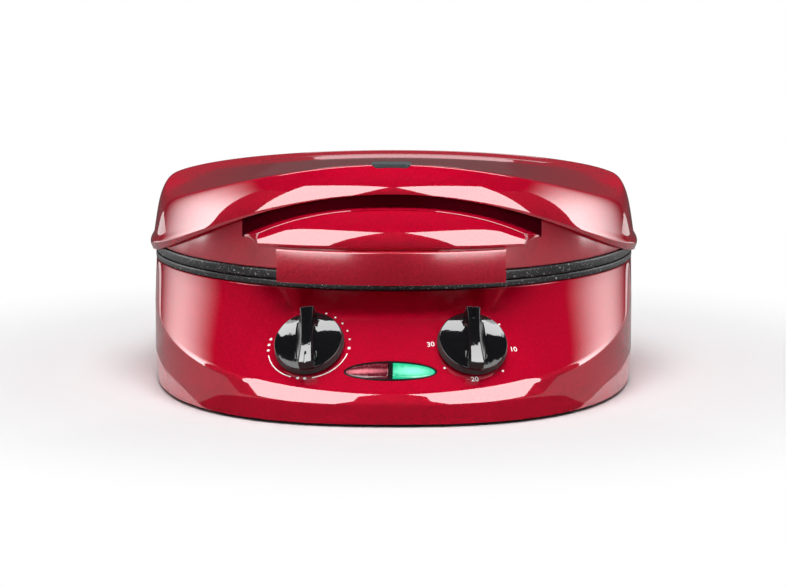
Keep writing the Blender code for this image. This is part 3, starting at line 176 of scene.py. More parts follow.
def soft_box(
    name, azimuth, elevation, width, height, radiance, seen, fades=(0, 0), roll=0, bow=0.0, distance=2.6
):
    """A glowing panel that faces the cooker; azimuth 0 is the camera's side, 90 is +X. It dims
    smoothly over the first length from its edge nearer the camera and the second from its
    top. Its top edge falls by the bow towards both sides, with the square of the distance.
    seen says whether shine or matt surfaces take its light."""
    turn, rise = math.radians(azimuth), math.radians(elevation)
    way = Vector((math.sin(turn) * math.cos(rise), -math.cos(turn) * math.cos(rise), math.sin(rise)))
    right, up = width / 2, height / 2
    paint, tree, glow = glow_only(name)
    place = add_node(tree, "SeparateXYZ", {0: object_point(tree)}).outputs
    level = radiance
    for axis, edge, fade in ((0, -right if azimuth > 0 else right, fades[0]), (1, up, fades[1])):
        full = edge - math.copysign(max(fade, 0.001), edge)
        ramp = ranged(tree, place[axis], 0.0, 1.0, edge, full, "SMOOTHSTEP")
        level = arith(tree, "MULTIPLY", ramp, level)
    fill(tree, glow, {"Strength": level})
    steps = 16
    across = np.linspace(-1, 1, steps + 1)
    foot, head = 0 * across - up, up - bow * across ** 2
    edges = [np.stack([right * across, edge, 0 * across], axis=1) for edge in (foot, head)]
    faces = [(i, i + 1, i + steps + 2, i + steps + 1) for i in range(steps)]
    box = studio_piece(name, np.concatenate(edges), faces, paint)
    box.location = Vector((0, 0, 0.09)) + way * distance
    facing = way.to_track_quat("-Z", "Y")
    facing.rotate(Quaternion(way, math.radians(roll)))
    box.rotation_euler = facing.to_euler()
    box.visible_camera = False
    box.visible_shadow = False
    box.visible_diffuse = seen == "matt"
    box.visible_glossy = seen == "shine"
    return box


def grey_card(name, inner, outer, azimuths, grey, steps=24):
    """A curved card that only shows in reflections, as studios put round glossy things. It is
    ruled from one (radius, height) about the cooker to another, between two azimuths."""
    paint, tree, glow = glow_only(name)
    fill(tree, glow, {"Color": (grey, grey, grey, 1)})
    turn = np.radians(np.linspace(*azimuths, steps + 1))
    way = np.stack([np.sin(turn), -np.cos(turn)], axis=1)
    rings = [np.column_stack([radius * way, height + 0 * turn]) for radius, height in (inner, outer)]
    faces = [(i, i + 1, i + steps + 2, i + steps + 1) for i in range(steps)]
    card = studio_piece(name, np.concatenate(rings), faces, paint)
    card.visible_camera = False
    card.visible_diffuse = False
    card.visible_shadow = False


for side in (-1, 1):
    soft_box("front box", side * 40, 23, 2.75, 2.35, 4.2, "shine", roll=side * 12)
    soft_box("rim box", side * 124, 15, 2.4, 2.65, 4.8, "shine", fades=(2.4, 1.55))
soft_box("key box", 0, 78, 2.0, 2.0, 6.4, "matt")
soft_box("overhead box", 180, 74, 3.7, 1.21, 5.0, "shine", bow=0.82)
soft_box("rear strip", 180, 10, 0.3, 0.4, 0.9, "shine", distance=3.3)
wall_foot, wall_head = (3.6, 0.0), (3.6, 2.8)
near_cooker, table_middle, table_end = (0.21, 0.001), (1.1, 0.001), (3.6, 0.001)
grey_card("front wall", wall_foot, wall_head, (-150, 150), 0.05)
grey_card("rear wall", wall_foot, wall_head, (150, 210), 0.06)
grey_card("ceiling", wall_head, (0.001, 2.8), (0, 360), 0.01)
grey_card("front floor", near_cooker, table_end, (-45, 45), 0.03)
grey_card("rear floor", (0.45, 0.001), table_end, (150, 210), 0.08)
for start, end in ((45, 112), (248, 315)):
    grey_card("side floor", near_cooker, table_end, (start, end), 0.30)
for start, end in ((112, 150), (210, 248)):
    grey_card("side floor", near_cooker, table_middle, (start, end), 0.36)
    grey_card("far floor", table_middle, table_end, (start, end), 1.3)


# Base housing: a pressed steel shell, lofted from the plate's round ledge out to a fuller
# foot, with a creased panel for the dials. It is sprayed with metal flake under clear coat.

def surface(name, rings, loop=False, poles=()):
    """A mesh through rings of points. Each ring closes on itself, and each of its points is
    joined to its neighbours in the next ring. loop joins the last ring to the first. poles
    are the points that close the first and the last ring with a fan; a pole of None leaves
    a flat face there. Faces are turned outwards by the sign of the volume."""
    rings = np.asarray(rings, float)
    count, across = rings.shape[:2]
    points = list(rings.reshape(-1, 3))
    rows = count if loop else count - 1
    i, j = np.meshgrid(np.arange(rows), np.arange(across), indexing="ij")
    here, there = i * across, (i + 1) % count * across
    side = (j + 1) % across
    quads = np.stack([here + j, here + side, there + side, there + j], axis=-1).reshape(-1, 4)
    faces = quads.tolist()
    for pole, first in zip(poles, (True, False)):
        start = 0 if first else (count - 1) * across
        edge = np.arange(across) + start
        if pole is None:
            faces.append(edge[::-1].tolist() if first else edge.tolist())
            continue
        points.append(np.asarray(pole, float))
        middle = np.full(across, len(points) - 1)
        pair = (np.roll(edge, -1), edge) if first else (edge, np.roll(edge, -1))
        faces += np.stack([*pair, middle], axis=-1).tolist()
    mesh = bpy.data.meshes.new(name)
    mesh.from_pydata(np.array(points).tolist(), [], faces)
    return turned_out(mesh)


def capped(name, rings):
    """A mesh through rings that is closed flat at both ends."""
    return surface(name, rings, poles=(None, None))


def mesh_points(mesh):
    points = np.zeros(len(mesh.vertices) * 3)
    mesh.vertices.foreach_get("co", points)
    return points.reshape(-1, 3)


def turned_out(mesh):
    """Turns a closed mesh's faces outwards: the sum of a.(b x c) over its triangles is positive."""
    mesh.calc_loop_triangles()
    corners = np.zeros(len(mesh.loop_triangles) * 3, np.int32)
    mesh.loop_triangles.foreach_get("vertices", corners)
    a, b, c = mesh_points(mesh)[corners].reshape(-1, 3, 3).transpose(1, 0, 2)
    if np.sum(a * np.cross(b, c)) < 0:
        mesh.flip_normals()
    mesh.update()
    return mesh


def rounded(rings, trims, steps=6):
    """Rounds a run of rings at its corners. A corner c becomes the parabola
    a(1-t)^2 + 2ct(1-t) + bt^2, where a and b lie a trim's length before and after it."""
    made = []
    for i, (ring, trim) in enumerate(zip(rings, trims)):
        if np.ndim(trim) == 0 and trim == 0:
            made.append(ring)
            continue
        ends = []
        for other in (rings[i - 1], rings[(i + 1) % len(rings)]):
            way = other - ring
            length = np.linalg.norm(way, axis=1, keepdims=True)
            share = np.minimum(np.reshape(trim, (-1, 1)) / np.maximum(length, 1e-9), 0.48)
            ends.append(ring + way * share)
        for t in np.linspace(0, 1, steps + 1):
            made.append(ends[0] * (1 - t) ** 2 + 2 * ring * t * (1 - t) + ends[1] * t * t)
    return np.array(made)


def piece(name, mesh, skin, body, slot, *nodes, sharp_deg=40):
    """Links a mesh as a piece that rides on a body in place of its CAD nodes."""
    made = bpy.data.objects.new(name, mesh)
    bpy.context.scene.collection.objects.link(made)
    mesh.materials.clear()
    mesh.materials.append(skin)
    mesh.shade_smooth()
    mesh.set_sharp_from_angle(angle=math.radians(sharp_deg))
    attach(made, body)
    if nodes:
        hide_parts(*nodes)
    return made


def combined(mesh, others, operation="DIFFERENCE"):
    """The mesh with other closed meshes cut away or joined by exact Booleans."""
    target = bpy.data.objects.new("target", mesh)
    bpy.context.scene.collection.objects.link(target)
    helpers = [target]
    for other in others:
        tool = bpy.data.objects.new("tool", other)
        bpy.context.scene.collection.objects.link(tool)
        helpers.append(tool)
        step = target.modifiers.new("step", "BOOLEAN")
        step.operation = operation
        step.solver = "EXACT"
        step.object = tool
    graph = bpy.context.evaluated_depsgraph_get()
    made = bpy.data.meshes.new_from_object(target.evaluated_get(graph))
    for helper in helpers:
        bpy.data.objects.remove(helper, do_unlink=True)
    return made


def upright_to(way):
    """The matrix that turns rows of points so that the upright direction becomes the way."""
    return np.array(Vector((0, 0, 1)).rotation_difference(Vector(way)).to_matrix()).T


def rod(place, way, radius, low, high, count=48):
    """A round bar along a direction, from low to high: rings at both ends, closed flat."""
    flat = ellipse(radius, radius, count)
    rings = [np.column_stack([flat, np.full(count, level)]) @ upright_to(way) for level in (low, high)]
    return capped("rod", np.array(rings) + np.array(place))


plate_low, plate_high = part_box("lower_plate")
base_low, base_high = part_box("base_housing")
pan_y = (plate_low.y + plate_high.y) / 2
rim_radius = plate_high.x
seat_gap = 0.0003
base_height = base_high.z
base_half_width = rim_radius - 0.0005
base_front_reach = pan_y - base_low.y
base_bottom = base_low.z
base_wall = 0.0020
base_draft = 0.0012
base_fold_height = 0.0165
base_crease_inset = 0.0025
base_outline_power = 2 / 2.45
crease_front_height = 0.0245
crease_rise_share = 0.19
crease_softness = 0.0030
rear_panel_height = 0.0060
ledge_width = 0.0125
foot_trim, fold_trim, crease_trim, rim_trim, inner_trim = 0.0006, 0.0022, 0.0030, 0.0015, 0.0004
around_base = np.linspace(0, math.tau, 320, endpoint=False)


def base_outline(angle, inset=0.0, front_inset=0.0):
    """Plan of the foot: a superellipse (|x/a|^2.45 + |y/b|^2.45 = 1) in front of the pan's
    axis, and a circle behind it. Gives x and the distance forward of the axis."""
    side = base_half_width - inset
    front = base_front_reach - inset - front_inset
    across, along = np.sin(angle), np.cos(angle)
    x = np.where(along > 0, side * np.sign(across) * np.abs(across) ** base_outline_power, side * across)
    forward = np.where(along > 0, front * np.abs(along) ** base_outline_power, side * along)
    return x, forward


def base_crease(angle, inset=0.0):
    """The panel's lower crease: it lies in a plane that rises to the rear, and levels out
    smoothly below the rim as the soft minimum of the two heights."""
    x, forward = base_outline(angle, inset, base_crease_inset)
    reach = base_front_reach - base_crease_inset
    rise = crease_front_height + crease_rise_share * (reach - forward)
    top = base_height - rear_panel_height
    height = top - crease_softness * np.logaddexp(0, (top - rise) / crease_softness)
    return x, forward, height


def ring_at(x, forward, height):
    return np.stack([x, pan_y - forward, np.broadcast_to(height, np.shape(x))], axis=-1)


def circle_at(radius, height, angles):
    """A level ring about the pan's axis."""
    return ring_at(radius * np.sin(angles), radius * np.cos(angles), height)


def on_panel(angle, share):
    """Points of the sloped panel, ruled straight from the rim (0) down to the crease (1)."""
    top = circle_at(rim_radius - seat_gap, base_height, angle)
    low = ring_at(*base_crease(angle))
    return top + (low - top) * np.reshape(share, (-1, 1))


def base_rings():
    """The shell's section, once round: foot, fold, crease, panel, rim, ledge and back inside."""
    turn = around_base
    ledge = rim_radius - seat_gap - ledge_width
    inner_rim = rim_radius - seat_gap - 2 * base_wall
    x, forward, height = base_crease(turn, base_wall)
    corners = [
        (ring_at(*base_outline(turn, base_draft), base_bottom), foot_trim),
        (ring_at(*base_outline(turn), base_fold_height), fold_trim),
        (on_panel(turn, 1.0), crease_trim),
        *[(on_panel(turn, share), 0) for share in (0.8, 0.6, 0.4, 0.2)],
        (on_panel(turn, 0.0), rim_trim),
        (circle_at(ledge, base_height, turn), inner_trim),
        (circle_at(ledge, base_height - base_wall, turn), inner_trim),
        (circle_at(inner_rim, base_height - base_wall, turn), 0),
        (ring_at(x, forward, height - base_wall / 4), 0),
        (ring_at(*base_outline(turn, base_wall), base_fold_height), 0),
        (ring_at(*base_outline(turn, base_wall + base_draft), base_bottom), inner_trim),
    ]
    return rounded(*zip(*corners))


def seat_axes(outward):
    """Right, up and outward directions on the panel, as rows of a matrix."""
    outward = np.array(outward) / np.linalg.norm(outward)
    up = np.array([0, 0, 1.0]) - outward * outward[2]
    up /= np.linalg.norm(up)
    return np.array([np.cross(up, outward), up, outward])


dials = {}
for joint in frame["joints"]:
    if joint["name"] != "lid_hinge":
        dials[joint["child"]] = (np.array(joint["pos_m"]), seat_axes(-np.array(joint["axis"])))

indicator_share = 0.79
panel_slope = on_panel(np.zeros(1), 0.0)[0] - on_panel(np.zeros(1), 1.0)[0]
indicator_axes = seat_axes([0, -panel_slope[2], panel_slope[1]])
indicator_place = on_panel(np.zeros(1), indicator_share)[0]
lens_half_length = 0.0313
lens_half_height = 0.0069
bezel_width = 0.0011
bezel_lip = 0.0004
bar_half_width = 0.0009


def eye_loop(grow, height, count=96):
    """A full ellipse about the indicator's middle, at a height above the panel."""
    flat = ellipse(lens_half_length + grow, lens_half_height + grow, count)
    return np.column_stack([flat, np.full(count, height)]) @ indicator_axes + indicator_place


window = capped("window", [eye_loop(bezel_width + seat_gap, z) for z in (-0.009, 0.004)])
grommet_low, grommet_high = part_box("cord_grommet")
grommet_middle = np.array((grommet_low + grommet_high) / 2)
grommet_turn = math.radians(148.5)
grommet_way = np.array([math.sin(grommet_turn), -math.cos(grommet_turn), 0.0])
grommet_hole_radius = 0.0068
shaft_hole_radius = 0.0049
cuts = [window, rod(grommet_middle, grommet_way, grommet_hole_radius, -0.008, 0.008)]
for place, axes in dials.values():
    cuts.append(rod(place, axes[2], shaft_hole_radius, -0.007, 0.004))


def new_group(name, inputs, outputs):
    """A shader node group, its inputs, and its output node. The inputs are given with their
    first values, whose length says whether they are numbers, vectors or colours."""
    group = bpy.data.node_groups.new(name, "ShaderNodeTree")
    kinds = {1: "NodeSocketFloat", 3: "NodeSocketVector", 4: "NodeSocketColor"}
    for title, value in inputs.items():
        made = group.interface.new_socket(title, in_out="INPUT", socket_type=kinds[np.size(value)])
        made.default_value = value
    for title, size in outputs.items():
        group.interface.new_socket(title, in_out="OUTPUT", socket_type=kinds[size])
    return group, group.nodes.new("NodeGroupInput").outputs, group.nodes.new("NodeGroupOutput")


def lacquer_group():
    """Metal flake paint. Voronoi cells stand for the flakes: each has its own brightness and
    tilts the base layer's normal; broad noise varies the colour as sprayed paint does."""
    inputs = {
        "Colour": (0.5, 0, 0.03, 1),
        "Flakes per metre": 1600.0,
        "Flake contrast": 0.25,
        "Flake tilt": 0.22,
        "Roughness": 0.4,
        "Peel": 0.1,
    }
    group, given, out = new_group("flake paint", inputs, {"Colour": 4, "Roughness": 1, "Normal": 3})
    place = object_point(group)
    cells = add_node(group, "TexVoronoi", {"Vector": place, "Scale": given["Flakes per metre"]})
    flakes = cells.outputs["Color"]
    cloud = add_node(group, "TexNoise", {"Vector": place, "Scale": 22.0, "Detail": 3.0}).outputs["Fac"]
    chance = add_node(group, "SeparateColor", {"Color": flakes}).outputs[0]
    sparkle = arith(group, "MULTIPLY", arith(group, "SUBTRACT", chance, 0.5), given["Flake contrast"])
    drift = arith(group, "MULTIPLY", arith(group, "SUBTRACT", cloud, 0.5), 0.14)
    level = arith(group, "ADD", arith(group, "ADD", sparkle, drift), 1.0)
    peel = add_node(group, "TexNoise", {"Vector": place, "Scale": 420.0}).outputs["Fac"]
    dents = {"Height": peel, "Strength": given["Peel"], "Distance": 0.0003}
    dented = add_node(group, "Bump", dents).outputs["Normal"]
    centred = vectors(group, "SUBTRACT", flakes, (0.5, 0.5, 0.5))
    leaning = vectors(group, "ADD", dented, vectors(group, "MULTIPLY", centred, given["Flake tilt"]))
    fill(group, out, {
        "Colour": vectors(group, "MULTIPLY", given["Colour"], level),
        "Roughness": arith(group, "ADD", given["Roughness"], arith(group, "MULTIPLY", drift, 0.4)),
        "Normal": vectors(group, "NORMALIZE", leaning),
    })
    return group


flake_paint = lacquer_group()


def take(tree, shader, given, sockets=("Base Color", "Roughness", "Normal")):
    """Links the outputs of a placed group to the shader's sockets."""
    fill(tree, shader, {key: given["Colour" if key == "Base Color" else key] for key in sockets})


def lacquer(name, roughness, coat_roughness, peel):
    """Candy red metal flake under a clear coat."""
    coat = {"Coat Weight": 1.0, "Coat Roughness": coat_roughness, "Coat IOR": 2.2}
    made, tree, shader = new_material(name, {"Metallic": 0.15, "Specular IOR Level": 0.0, **coat})
    values = {"Colour": (0.62, 0.0015, 0.028, 1), "Roughness": roughness, "Peel": peel}
    take(tree, shader, add_node(tree, "Group", values, node_tree=flake_paint).outputs)
    return made


gloss_lacquer = lacquer("gloss red lacquer", 0.36, 0.035, 0.05)
satin_lacquer = lacquer("orange peel lacquer", 0.34, 0.16, 0.30)

base_mesh = combined(surface("base_shell", base_rings(), loop=True), cuts)
piece("base_shell", base_mesh, gloss_lacquer, "base", "lacquer", "base_housing", sharp_deg=32)


# Lid: a pressed steel cover with an arched visor, a deck that falls to the rear and a raised
# margin behind. It has the base's lacquer. The skirt is the inner wall seen under the visor.

lid_low, lid_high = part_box("lid_housing")
lid_edge_height = lid_low.z
skirt_radius = rim_radius - seat_gap
visor_radius = skirt_radius + 0.0028
visor_ridge_radius = visor_radius - 0.0140
visor_edge_rise = 0.0635
visor_ridge_height = lid_high.z
visor_ridge_fall = 0.0422
lid_margin_radius = visor_radius - 0.0097
lid_margin_height = lid_edge_height + 0.0510
deck_rear_height = lid_margin_height - 0.0035
lid_round = 0.0035
lid_lip = 0.0018
lid_lip_tuck = 0.0008
lid_lip_share = 0.27
lid_tuck_share = 0.10
lid_wall = 0.0021
deck_crease_share = 0.88
saddle_degs = (70.0, 106.0)
visor_bulge_end = 0.75
lid_edge_trim, ridge_trim, margin_trim, deck_trim = 0.0006, 0.0014, 0.0026, 0.0025
around_lid = np.linspace(0, math.tau, 360, endpoint=False)


def lid_front(angle):
    """The square of the cosine ahead of the pan's axis, and 0 behind it."""
    return np.where(np.cos(angle) > 0, np.cos(angle) ** 2, 0.0)


def lid_edge_z(angle):
    """Lower edge: arched over the handle, level round the sides and rear."""
    return lid_edge_height + visor_edge_rise * lid_front(angle)


def lid_top_radius(angle):
    front = lid_front(angle)
    return visor_ridge_radius * front + lid_margin_radius * (1 - front)


def lid_top_z(angle):
    """Ridge: it falls with the square of the sine from the front, then a smooth step takes it
    down to the level margin of the rear."""
    turned_by = np.degrees(np.abs((angle + math.pi) % math.tau - math.pi))
    arch = visor_ridge_height - visor_ridge_fall * np.sin(angle) ** 2
    share = np.clip((turned_by - saddle_degs[0]) / (saddle_degs[1] - saddle_degs[0]), 0, 1)
    share = share * share * (3 - 2 * share)
    return arch * (1 - share) + lid_margin_height * share


def lid_wall_radius(angle, share):
    """The wall from its lower edge (0) to the ridge (1): in front a parabolic bulge, straight
    above its end; behind it a draft, a rounded shoulder, and a half-sine lip with a tucked
    foot."""
    front = lid_front(angle)
    end = visor_bulge_end
    curved = np.minimum(share, end) ** 2 + 2 * end * np.maximum(share - end, 0)
    bulge = (visor_radius - visor_ridge_radius) * (1 - curved / (end * (2 - end)))
    draft = (visor_radius + lid_lip_tuck - lid_margin_radius - lid_round) * (1 - share)
    draft = draft + lid_round * (1 - share ** 8)
    lip = lid_lip * np.sin(math.pi * np.clip(share / lid_lip_share, 0, 1)) ** 2
    tuck = lid_lip_tuck * np.clip(1 - share / lid_tuck_share, 0, 1) ** 2
    return lid_top_radius(angle) + bulge * front + (draft - tuck) * (1 - front) + lip * (1 - front) ** 6


def deck_z(x, forward):
    """The deck is ruled from the ridge back to a level line at the rear."""
    reach = lid_margin_radius
    half = np.sqrt(np.maximum(reach ** 2 - x ** 2, (reach / 4) ** 2))
    ahead = lid_top_z(np.arcsin(np.clip(x / reach, -1, 1)))
    share = np.clip((forward + half) / (2 * half), 0, 1)
    return deck_rear_height + (ahead - deck_rear_height) * share


def lid_rings(wall):
    """The cover's rings from its lower edge up the wall, over the ridge and in to the middle,
    offset inwards by a wall's thickness."""
    turn = around_lid
    low, high = lid_edge_z(turn), lid_top_z(turn) - wall
    front = lid_front(turn)
    rings = []
    for share in np.concatenate([np.linspace(0, lid_lip_share, 13), np.linspace(0.30, 0.93, 22)]):
        radius = lid_wall_radius(turn, share) - wall
        rings.append((circle_at(radius, low + (high - low) * share, turn), 0))
    top = lid_top_radius(turn)
    edge = deck_z(top * np.sin(turn), top * np.cos(turn)) - wall
    shares = np.concatenate([[1.0, 0.96, 0.92, deck_crease_share], np.linspace(0.84, 0.06, 24)])
    for share in shares:
        radius = (top - wall) * share
        x, forward = radius * np.sin(turn), radius * np.cos(turn)
        ramp = max(0.0, (share - deck_crease_share) / (1 - deck_crease_share))
        height = deck_z(x, forward) - wall + (high - edge) * ramp
        trim = 0
        if share == 1.0:
            trim = ridge_trim + margin_trim * (1 - front)
        if share == deck_crease_share:
            trim = deck_trim
        rings.append((circle_at(radius, height, turn), trim))
    return rings


def lid_mesh():
    """Outer rings from the middle down to the edge, then inner rings back to the middle."""
    outer, inner = lid_rings(0.0)[::-1], lid_rings(lid_wall)
    outer[-1] = (outer[-1][0], lid_edge_trim)
    inner[0] = (inner[0][0], lid_edge_trim)
    rings, trims = zip(*(outer + inner))
    middle = float(deck_z(np.zeros(1), np.zeros(1))[0])
    poles = ((0, pan_y, middle), (0, pan_y, middle - lid_wall))
    return surface("lid_cover", rounded(rings, trims), poles=poles)


pad_low, pad_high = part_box("rest_pad")
pad_top = visor_ridge_height + 0.0012
pad_middle_y = (pad_low.y + pad_high.y) / 2
pad_radius = (pad_high.y - pad_low.y) / 2
pad_straight = pad_high.x - pad_radius


def pad_loop(grow, height, count=24):
    """A stadium: straight sides with half-round ends."""
    around = np.linspace(-math.pi / 2, 3 * math.pi / 2, 2 * count)
    x = np.where(np.arange(2 * count) < count, 1, -1) * pad_straight + (pad_radius + grow) * np.cos(around)
    y = pad_middle_y + (pad_radius + grow) * np.sin(around)
    return np.stack([x, y, np.full(2 * count, height)], axis=1)


pocket_rings = [pad_loop(seat_gap, z) for z in (pad_low.z, pad_high.z + 0.004)]
pocket = capped("pocket", pocket_rings)
cover_mesh = combined(lid_mesh(), [pocket])
piece("lid_cover", cover_mesh, gloss_lacquer, "lid", "lacquer", "lid_housing", sharp_deg=32)

skirt_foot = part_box("lid_skirt")[0].z
dome_low, dome_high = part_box("handle_upper")
handle_half_width = dome_high.x - 0.0008
handle_crest_height = dome_high.z
handle_crest_fall = 0.0248
handle_crest_power = 2.45
skirt_lean_share = 0.085
skirt_cover = 0.0080
skirt_wall = 0.0020
skirt_seat_width = 0.0130
skirt_least_height = 0.0060
painted_shade_half_width = 0.1068


def skirt_radius_at(height):
    return skirt_radius - skirt_lean_share * (height - skirt_foot)


def skirt_rings():
    """Section of the skirt: seat, foot, outer wall up to a top edge behind the visor, and the
    same again inside by its thickness."""
    turn = around_lid
    top = np.maximum(lid_edge_z(turn) + skirt_cover, skirt_foot + skirt_least_height)
    seat = skirt_radius - skirt_seat_width
    middle = (top + skirt_foot) / 2
    inner = skirt_radius_at(middle) - skirt_wall
    corners = [
        (circle_at(seat, skirt_foot, turn), 0.0004),
        (circle_at(skirt_radius, skirt_foot, turn), 0.0015),
        (circle_at(skirt_radius_at(middle), middle, turn), 0),
        (circle_at(skirt_radius_at(top), top, turn), 0.0005),
        (circle_at(skirt_radius_at(top) - skirt_wall, top, turn), 0.0005),
        (circle_at(inner, middle, turn), 0),
        (circle_at(skirt_radius - skirt_wall, skirt_foot + skirt_wall, turn), 0.0010),
        (circle_at(seat, skirt_foot + skirt_wall, turn), 0.0004),
    ]
    return rounded(*zip(*corners))


def mixed(tree, factor, first, second):
    """A blend of two colours."""
    values = {"Factor": factor, "A": first, "B": second}
    return add_node(tree, "Mix", values, data_type="RGBA").outputs["Result"]


def skirt_paint():
    """The skirt's satin lacquer. Behind the grip, above the line h - k |x|^2.45 of its crest,
    the colour is painted deep maroon and the clear coat is left off: painted shade for the
    recess under the visor."""
    made = satin_lacquer.copy()
    made.name = "skirt paint"
    tree = made.node_tree
    shader = tree.nodes["Principled BSDF"]
    painted = shader.inputs["Base Color"].links[0].from_socket
    place = add_node(tree, "SeparateXYZ", {0: object_point(tree)}).outputs
    aside = arith(tree, "DIVIDE", arith(tree, "ABSOLUTE", place["X"]), handle_half_width)
    fall = arith(tree, "MULTIPLY", arith(tree, "POWER", aside, handle_crest_power), handle_crest_fall)
    crest = arith(tree, "ADD", place["Z"], fall)
    above = arith(tree, "GREATER_THAN", crest, handle_crest_height - 0.0010)
    inside = arith(tree, "LESS_THAN", aside, painted_shade_half_width / handle_half_width)
    recess_painted_shade = arith(tree, "MULTIPLY", above, inside)
    # Painted shade: deep maroon without clear coat stands in for the shade of the recess behind the grip.
    colour = mixed(tree, recess_painted_shade, painted, (0.07, 0.0006, 0.006, 1))
    fill(tree, shader, {"Base Color": colour, "Coat Weight": ranged(tree, recess_painted_shade, 1.0, 0.0)})
    return made


skirt_mesh = surface("skirt_wall", skirt_rings(), loop=True)
piece("skirt_wall", skirt_mesh, skirt_paint(), "lid", "lacquer", "lid_skirt")


# Handle: a crescent-shaped dome over a curved plate, both moulded and lacquered red. Screws
# behind the skirt hold the dome, and the plate hangs from it a hand's grip clear.

plate_front_low, plate_front_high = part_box("handle_front")
handle_radius = pan_y - plate_front_low.y
handle_tip = 0.0115
handle_bottom_height = dome_low.z
dome_depth_share = 0.48
dome_height_power = 2.2
dome_bead = 0.0010
dome_flat = 0.0033
dome_flat_half_width = 0.066
dome_step = 0.0016
dome_step_depth = 0.0040
handle_edge = 0.0015


def on_skirt(x, height):
    """How far forward the handle's back lies, a gap in front of the leaning skirt."""
    return np.sqrt((skirt_radius_at(height) + seat_gap) ** 2 - x ** 2)


def dome_rings():
    """Sections across the grip. Over the height share s the front lies at
    crest + depth (1 - s^2.2); a fine bead runs along the crest, and a ledge goes back to
    the skirt. The middle is a little flatter than the plate's circle. Near the tips the
    depth falls off and the bottom rises, as a cut end."""
    start = handle_half_width - handle_tip
    half = np.concatenate([np.linspace(0, start, 49), np.linspace(start, handle_half_width, 12)[1:]])
    rings = []
    for x in np.concatenate([-half[:0:-1], half]):
        crest = handle_crest_height - handle_crest_fall * abs(x / handle_half_width) ** handle_crest_power
        lift = max(0.0, (abs(x) - start) / handle_tip)
        bottom = handle_bottom_height + (crest - handle_edge - handle_bottom_height) * lift
        back = on_skirt(x, crest)
        flat = dome_flat * max(0.0, 1 - (x / dome_flat_half_width) ** 2) ** 2
        front = back + (math.sqrt(handle_radius ** 2 - x ** 2) - flat - back) * (1 - lift) + seat_gap
        tall = crest - bottom
        bead = min(dome_bead, tall / 4)
        foot = min(handle_edge, tall / 4)
        depth = min(dome_depth_share * tall, (front - back) * 0.9)
        share = np.linspace(0.04, 1, 24)
        forward = front - depth + depth * (1 - share ** dome_height_power)
        height = bottom + (tall - bead) * share
        edge = np.linspace(0, math.pi / 2, 6)[:-1]
        nose = [forward[0] - foot * (1 - np.sin(edge)), bottom + foot * (1 - np.cos(edge)) * 0.9]
        top = front - depth
        lip = [
            (top - bead * 0.35, crest - bead * 0.75),
            (top + bead * 0.10, crest - bead * 0.50),
            (top, crest - bead * 0.15),
            (top - bead * 0.40, crest),
        ]
        level = np.linspace(crest, bottom, 8)
        behind = [on_skirt(x, level), level]
        inner = max(forward[0] - dome_step_depth, float(behind[0][-1]) + seat_gap)
        step = dome_step * (1 - lift)
        under = [(behind[0][-1], bottom - step), (inner, bottom - step), (inner, bottom)]
        runs = [np.stack(run, axis=1) for run in (nose, [forward, height], behind)]
        loop = np.concatenate([runs[0], runs[1], lip, runs[2], under])
        rings.append(np.stack([np.full(len(loop), x), pan_y - loop[:, 0], loop[:, 1]], axis=1))
    return rings


dome_mesh = capped("grip_dome", dome_rings())
piece("grip_dome", dome_mesh, gloss_lacquer, "lid", "lacquer", "handle_upper", sharp_deg=35)

plate_top = plate_front_high.z
plate_bottom = plate_front_low.z
plate_wall = 0.0030
plate_back = skirt_radius + 2 * seat_gap
plate_half_angle = math.asin((plate_front_high.x - 0.0018) / handle_radius)


def quarter_round(size, steps=4):
    """How far back and how far in the stops of a rounded end lie, from its face inwards."""
    turn = np.linspace(0, math.pi / 2, steps + 1)
    return [(size * (1 - math.cos(q)), size * (1 - math.sin(q))) for q in turn]


def shrunk(loop, inset):
    """A loop whose points have moved towards its middle by a length."""
    way = loop.mean(axis=0) - loop
    return loop + way / np.linalg.norm(way, axis=1, keepdims=True) * inset


def carried(name, profile, trims, angles, ends=0.0):
    """A (radius, height) outline with rounded corners, carried round the pan's axis. ends
    rounds both ends: the outline shrinks towards its middle on a quarter circle."""
    outline = np.array([(r, 0.0, z) for r, z in profile])
    loop = rounded([p[None] for p in outline], trims, 4)[:, 0]
    turns = [(a, 0.0) for a in angles]
    if ends:
        bends = quarter_round(ends)[:-1]
        first = [(angles[0] + back / handle_radius, inset) for back, inset in bends]
        last = [(angles[-1] - back / handle_radius, inset) for back, inset in reversed(bends)]
        turns = first + turns[1:-1] + last
    rings = []
    for angle, inset in turns:
        radius, _, height = shrunk(loop, inset).T
        ring = [radius * math.sin(angle), pan_y - radius * math.cos(angle), height]
        rings.append(np.stack(ring, axis=1))
    return capped(name, rings)


front_profile = [
    (handle_radius, plate_bottom),
    (handle_radius, plate_top),
    (plate_back, plate_top),
    (plate_back, plate_top - plate_wall),
    (handle_radius - plate_wall, plate_top - plate_wall),
    (handle_radius - plate_wall, plate_bottom),
]
plate_angles = np.linspace(-plate_half_angle, plate_half_angle, 81)
front_trims = (0.0008, 0.0016, 0.0004, 0.0004, 0.0008, 0.0006)
front_mesh = carried("grip_plate", front_profile, front_trims, plate_angles)
web_profile = [
    (handle_radius - plate_wall / 2, plate_bottom + handle_edge),
    (handle_radius - plate_wall / 2, plate_top - handle_edge),
    (plate_back, plate_top - handle_edge),
    (plate_back, plate_bottom + 3 * handle_edge),
    (plate_back + 2 * handle_edge, plate_bottom + handle_edge),
]
web_angle = math.radians(0.9)
web_inset = 0.0006
webs = []
for side in (-1, 1):
    end = side * (plate_half_angle - web_angle / 2 - web_inset)
    span = np.array([end - web_angle / 2, end + web_angle / 2])
    webs.append(carried("web", web_profile, (0, 0, 0, 0, 0), span))
front_mesh = combined(front_mesh, webs, "UNION")
piece("grip_plate", front_mesh, satin_lacquer, "lid", "lacquer", "handle_front")


# Plates: cast aluminium dishes with a stone-effect coating. Their rims meet at the seam. The
# rim of the upper one is drilled for the four long lid screws.

